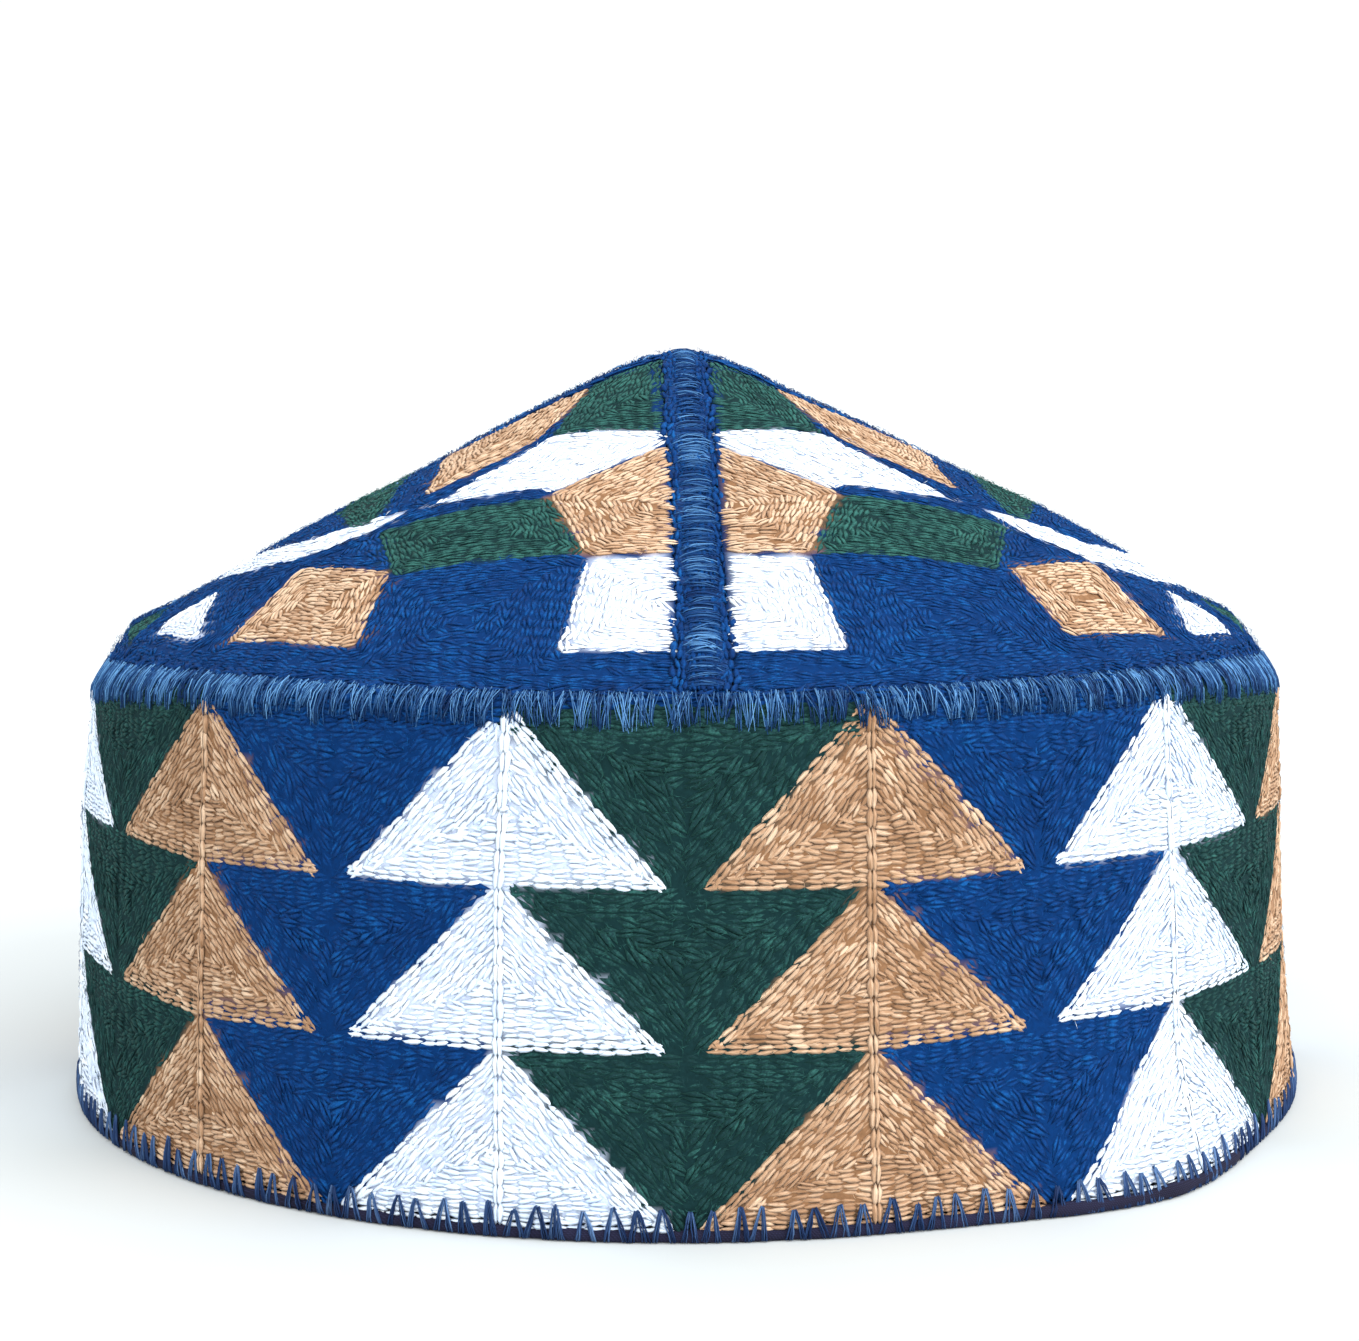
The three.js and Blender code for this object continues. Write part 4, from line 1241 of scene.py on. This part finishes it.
def build_edge_seam(batches, fuzz):
    rng = np.random.default_rng(41)
    # ring under the threads, in the darkened ground colours (painted shade): crown yarn above, the band's colours
    # below
    cols = 240
    az = np.arange(cols) * 2 * np.pi / cols
    stations = CROWN_EDGE + 0.3 + (CROWN_LENGTH - CROWN_EDGE - 0.3) * np.linspace(0, 1, 11)
    sec = [(t, float(ring_height(t))) for t in stations]
    sec += [(CROWN_LENGTH, -WALL), (CROWN_EDGE + 3.6, -WALL), (CROWN_EDGE + 0.3, -WALL)]
    sec = np.array(sec)
    uu, ss = np.meshgrid(az * EDGE_R, sec[:, 0], indexing="ij")
    _, out = np.meshgrid(az, sec[:, 1], indexing="ij")
    v = edge_seam_map(uu, ss, out)
    sway = crown_sway(ss, np.degrees(uu / EDGE_R))
    v[..., 2] = np.maximum(v[..., 2] - sway, BAND_TOP + SEAM_GAP) + sway
    n, k = v.shape[:2]
    idx = np.arange(n * k).reshape(n, k)
    a, b = idx, np.roll(idx, -1, 0)
    a2, b2 = np.roll(a, -1, 1), np.roll(b, -1, 1)
    q = np.stack([a, b, b2, a2], -1).reshape(-1, 4)
    tri = np.concatenate([q[:, [0, 1, 2]], q[:, [0, 2, 3]]])
    vv = v.reshape(-1, 3)
    if np.einsum("ij,ij->", vv[tri[:, 0]], np.cross(vv[tri[:, 1]], vv[tri[:, 2]])) < 0:
        tri = tri[:, ::-1]
    ring = mesh_object("edge_seam_ring", vv * 0.001, tri, GROUND_MATERIAL)
    colours = np.ones((cols, k, 4), np.float32)
    for i in range(cols):
        column = az[i] * 180 / math.pi / 15
        near = int(round(column / 2) * 2) % COLUMNS
        for j in range(k):
            colours[i, j, :3] = GROUND_SHADE["blue"] if sec[j, 0] < 98.6 or sec[j, 1] < 0 else GROUND_SHADE[colour_of(near)]
    ring.data.attributes.new("ground", "FLOAT_COLOR", "POINT").data.foreach_set("color", colours.reshape(-1))
    body(ring, "seam_thread", "crown_band_seam")
    around = 2 * math.pi * EDGE_R
    # rows of the crown's yarn over the edge, then of the band's yarn under it
    for s_row in (95.6, 96.5, 97.4, 98.3):
        c, t, step = along_path([(0, s_row), (around, s_row)], 2.1, 0.5, rng=rng)
        n = len(c)
        c[:, 1] += rng.normal(0, 0.1, n)
        t = t + np.stack([np.zeros(n), rng.normal(0, 0.35, n)], -1)
        t /= np.hypot(t[:, 0], t[:, 1])[:, None]
        # painted shade: these rows over the crown's rolled edge are darker than the crown's other blue rows
        lay_stitches(batches["blue"], edge_seam_map, c, t, "soft", rng, lengths=np.full(n, step * 1.1), lift=ring_height(c[:, 1]) - 0.1 + rng.normal(0, 0.09, n),
                     wide=1.2, tall=1.1, tone=-0.5, loose=3.0)
    for s_row in (99.3, 100.4, 101.5, 102.6):
        c, t, step = along_path([(0, s_row), (around, s_row)], 2.0, 0.5, rng=rng)
        column = c[:, 0] / around * COLUMNS
        near_even = (np.round(column / 2) * 2).astype(int) % COLUMNS
        odd = (np.floor(column / 2) * 2 + 1).astype(int)
        from_tree = np.abs(column - odd) * around / COLUMNS
        for colour in YARN:
            is_tree = from_tree < (0.0 if s_row < 101 else 1.2 if s_row < 102 else 1.9)
            pick = np.array([(colour_of(int(o) % COLUMNS) if tr else colour_of(int(e))) == colour for o, e, tr in zip(odd, near_even, is_tree)])
            cc, tt = c[pick], t[pick].copy()
            if not len(cc):
                continue
            tree_here = is_tree[pick]
            tt[tree_here] = (0.1, 1.0)
            lay_stitches(batches[colour], edge_seam_map, cc, tt, "plain" if colour in ("tan", "white") else "soft", rng, lengths=np.full(len(cc), step),
                         lift=ring_height(cc[:, 1]) - 0.1, tall=0.9, wide=1.05, tone=0.0, loose=1.6)
    # threads that lean to and fro over the edge
    over = Batch()
    k = 4
    count = 190
    space = around / count
    us, ss, oo, tone, rad = [], [], [], [], []
    e = np.linspace(0, 1, k)
    for i in range(count):
        # a tooth: strands that gather from the width between two teeth
        foot = (i + 0.5 + rng.normal(0, 0.1)) * space
        low_s = 101.6 + rng.normal(0, 0.35)
        group = rng.normal(0.2, 0.4)
        for strand in range(22):
            f = rng.uniform(-1, 1)
            top = foot + 0.7 * space * f + rng.normal(0, 0.12)
            end = foot + 0.36 * space * (0.7 * f + rng.normal(0, 0.45))
            us.append(top + (end - top) * e + rng.normal(0, 0.05, k))
            start = 96.9 + rng.normal(0, 0.35)
            low = low_s - 0.8 * abs(f) * rng.random() + rng.normal(0, 0.3)
            row = start + (low - start) * e
            ss.append(row)
            oo.append(ring_height(row) + 0.32 + 0.2 * np.sin(np.pi * (0.05 + 0.85 * e)) + rng.normal(0, 0.08))
            # painted shade: each thread darker towards its lower end
            tone.append(group + rng.normal(0, 1.2) + 0.4 - 1.3 * e)
            rad.append((0.06 + 0.035 * rng.random()) * (1.0 - 0.2 * e))
    us, ss, oo = np.array(us), np.array(ss), np.array(oo)
    p = edge_seam_map(us, ss, oo)
    nrm = edge_seam_map(us, ss, oo + 0.5) - p
    nrm /= np.linalg.norm(nrm, axis=-1, keepdims=True)
    threads(over, p, nrm, np.array(rad), np.array(tone))
    body(over.make("edge_seam_overcast", THREAD), "seam_thread")
    n = 2200
    spots = np.stack([rng.uniform(0, around, n), rng.uniform(94.5, 98.5, n)], -1)
    hairs(fuzz["blue"], edge_seam_map, spots, rng, length=1.1, height=0.95, lift=0.4, tone=0.6)


# ---- hem ---------------------------------------------------------------------------------------
def build_hem():
    rng = np.random.default_rng(53)
    cols = 400
    az = np.arange(cols) * 2 * np.pi / cols
    deg = np.degrees(az)
    # section: distance out from the hem radius, height
    sec = [(-0.7, 0.0), (0.0, 0.1), (0.3, 0.4), (0.4, 0.9), (0.35, 1.35), (0.05, 1.7), (-0.5, 1.8), (-WALL, 2.0), (-WALL, 0.0)]
    v = np.zeros((cols, len(sec), 3))
    wob = 0.10 * np.sin(np.radians(deg) * 37) + 0.07 * np.sin(np.radians(deg) * 71 + 1)
    for j, (o, z) in enumerate(sec):
        r = band_radius(0.0, deg) + o + (wob if o > -0.1 else 0)
        v[:, j] = np.stack([r * np.sin(az), -r * np.cos(az), np.full(cols, z) + (wob * 0.8 if z > 1.1 and o > -1 else 0)], -1)
    idx = np.arange(cols * len(sec)).reshape(cols, len(sec))
    a, b = idx, np.roll(idx, -1, 0)
    a2, b2 = np.roll(a, -1, 1), np.roll(b, -1, 1)
    q = np.stack([a, b, b2, a2], -1).reshape(-1, 4)
    tri = np.concatenate([q[:, [0, 1, 2]], q[:, [0, 2, 3]]])
    vv = v.reshape(-1, 3)
    if np.einsum("ij,ij->", vv[tri[:, 0]], np.cross(vv[tri[:, 1]], vv[tri[:, 2]])) < 0:
        tri = tri[:, ::-1]
    body(mesh_object("hem_strip", vv * 0.001, tri, HEM_CLOTH), "hem_cloth", "hem_edge")
    # stitches: an upright pair of legs over the strip's edge
    batch = Batch()
    count = 182
    k = 5
    us, zs, oo, tone, rad = [], [], [], [], []
    for i in range(count):
        u0 = (i + rng.normal(0, 0.09)) * BAND_LENGTH / count
        top = 4.35 + rng.normal(0, 0.3)
        lean = rng.normal(0, 0.25)
        group = rng.normal(0, 0.5)
        for way in (-1, 1):
            spread = 0.78 + rng.normal(0, 0.28)
            for strand in range(4):
                shift = (strand - 1.5) * 0.2 + rng.normal(0, 0.06)
                e = np.linspace(0, 1, k)
                us.append(u0 + lean * (1 - e) + way * (0.12 + spread * e ** 0.85) + shift * (0.35 + 0.75 * e) + rng.normal(0, 0.05, k))
                zs.append(top + rng.normal(0, 0.12) + (0.2 - top) * e)
                oo.append(np.interp(zs[-1], [0.1, 0.6, 1.2, 2.0, 2.8, 5.0], [0.3, 0.52, 0.58, 0.6, 0.68, 0.5]) + 0.08 * rng.random())
                # painted shade: each leg darker towards the floor
                tone.append(group + rng.normal(0, 0.8) - 0.6 * e)
                rad.append(0.11 + 0.04 * rng.random())
    us, zs, oo = np.array(us), np.maximum(zs, 0.17), np.array(oo)      # no thread below the floor

    def place(u, z, out):
        a = u / BAND_R
        r = band_radius(z, np.degrees(a)) + out
        return np.stack([r * np.sin(a), -r * np.cos(a), z], -1)
    p = place(us, zs, oo)
    nrm = place(us, zs, oo + 0.5) - p
    nrm /= np.linalg.norm(nrm, axis=-1, keepdims=True)
    threads(batch, p, nrm, np.array(rad), np.array(tone))
    body(batch.make("hem_stitches", HEM_THREAD), "seam_thread")
    return batch


# ---- loose fibres -------------------------------------------------------------------------------
def build_fuzz(fuzz):
    rng = np.random.default_rng(61)
    n = 22000
    u = rng.uniform(0, BAND_LENGTH, n)
    z = rng.uniform(3.5, BAND_TOP + 0.5, n)
    tint = band_colours(u[None], z[None])[0]
    for colour in YARN:
        pick = np.abs(tint - np.array(GROUND_SHADE[colour])).sum(-1) < 1e-6
        spots = np.stack([u, z], -1)[pick]
        if colour in ("tan", "white"):
            spots = spots[::4]
        hairs(fuzz[colour], band_map, spots, rng, length=1.2, height=0.56, lift=0.2, tone=0.6 if colour in ("blue", "green") else 0.4, thick=0.036)
    for panel in PANELS:
        patches = prepared_patches(panel)
        n = 4200
        s = CROWN_EDGE * np.sqrt(rng.random(n))
        flat = np.radians(rng.uniform(-HALF_FLAT, HALF_FLAT, n))
        x, y = s * np.sin(flat), s * np.cos(flat)
        keep = (seam_distance(x, y) > SEAM_HALF + 0.8) & (s > 8)
        x, y = x[keep], y[keep]
        free = np.ones(len(x), bool)
        groups = []
        for colour, poly, _ in patches:
            m = inside_polygon(x, y, poly) & free
            free &= ~m
            groups.append((colour, m))
        groups.append(("blue", free))
        for colour, m in groups:
            spots = np.stack([x[m], y[m]], -1)
            if colour in ("tan", "white"):
                spots = spots[::3]
            hairs(fuzz[colour], panel_map(panel), spots, rng, length=1.2, height=0.54, lift=0.2, tone=0.7, thick=0.036)


# ---- build ----------------------------------------------------------------------------------------
band_batches, band_ground = build_band()
body(band_ground, "yarn_blue", "side_band")
crown_batches = build_crown()
fuzz_batches = {name: Batch() for name in YARN}
build_ridges(fuzz_batches)
build_edge_seam(band_batches, fuzz_batches)
build_hem()
build_fuzz(fuzz_batches)
for name in YARN:
    body(band_batches[name].make("band_stitches_" + name, YARN[name]), "yarn_" + name)
    body(crown_batches[name].make("crown_stitches_" + name, YARN[name]), "yarn_" + name)
    body(fuzz_batches[name].make("fibres_" + name, YARN[name]), "yarn_" + name)

# ---- floor, light and camera ------------------------------------------------------------------------
floor_mesh = bpy.data.meshes.new("floor")
floor_mesh.from_pydata([(-6, -6, 0), (6, -6, 0), (6, 6, 0), (-6, 6, 0)], [], [(0, 1, 2, 3)])
floor = bpy.data.objects.new("floor", floor_mesh)
bpy.context.scene.collection.objects.link(floor)
fm, fnt, fb = new_material("floor_paint")
fb.inputs["Base Color"].default_value = (0.62, 0.655, 0.66, 1)
fb.inputs["Roughness"].default_value = 0.9
fb.inputs["Specular IOR Level"].default_value = 0.1
floor_mesh.materials.append(fm)

world = bpy.data.worlds.new("studio")
bpy.context.scene.world = world
world.use_nodes = True
bg = world.node_tree.nodes["Background"]
bg.inputs["Color"].default_value = (0.975, 0.99, 1.0, 1)
bg.inputs["Strength"].default_value = 1.05


def sun(name, source, width, strength, colour=(1, 1, 1)):
    """Wide soft light that comes from the direction of source."""
    data = bpy.data.lights.new(name, "SUN")
    data.angle = math.radians(width)
    data.energy = strength
    data.color = colour
    ob = bpy.data.objects.new(name, data)
    bpy.context.scene.collection.objects.link(ob)
    ob.location = Vector(source)
    ob.rotation_mode = "QUATERNION"
    ob.rotation_quaternion = (-Vector(source)).to_track_quat("-Z", "Y")
    return ob


sun("top_light", (0.15, -0.25, 1.0), 70, 1.4, (1.0, 0.99, 0.98))
sun("right_light", (0.95, -0.55, 0.45), 50, 2.2)
sun("front_light", (-0.2, -1.0, 0.4), 60, 0.75)

cam_data = bpy.data.cameras.new("camera")
cam_data.sensor_width = 36.0
cam_data.lens = 36.0 * 2942.6 / 1359
cam_data.clip_start = 0.01
cam_data.clip_end = 50
cam = bpy.data.objects.new("camera", cam_data)
bpy.context.scene.collection.objects.link(cam)
PITCH_ANGLE, YAW, ROLL = -0.1155, -0.001, -0.006
cp, sp = math.cos(PITCH_ANGLE), math.sin(PITCH_ANGLE)
cy, sy = math.cos(YAW), math.sin(YAW)
forward = Vector((sy * cp, cy * cp, sp))
right0 = Vector((cy, -sy, 0))
up0 = right0.cross(forward)
right = right0 * math.cos(ROLL) + up0 * math.sin(ROLL)
up = up0 * math.cos(ROLL) - right0 * math.sin(ROLL)
rot = Matrix((right, up, -forward)).transposed()
cam.matrix_world = Matrix.Translation((-0.000335, -0.44837, 0.11318)) @ rot.to_4x4()
bpy.context.scene.camera = cam
bpy.context.scene.view_settings.view_transform = "Standard"
bpy.context.scene.view_settings.look = "None"

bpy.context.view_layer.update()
counts = {}
for o in bpy.context.scene.objects:
    if o.type == "MESH" and o.name not in ("floor",) and not o.name.startswith("crown_panel") and o.name not in frame["nodes"]:
        counts[o.name] = sum(len(p.vertices) - 2 for p in o.data.polygons)
print("triangles", sum(counts.values()), counts)
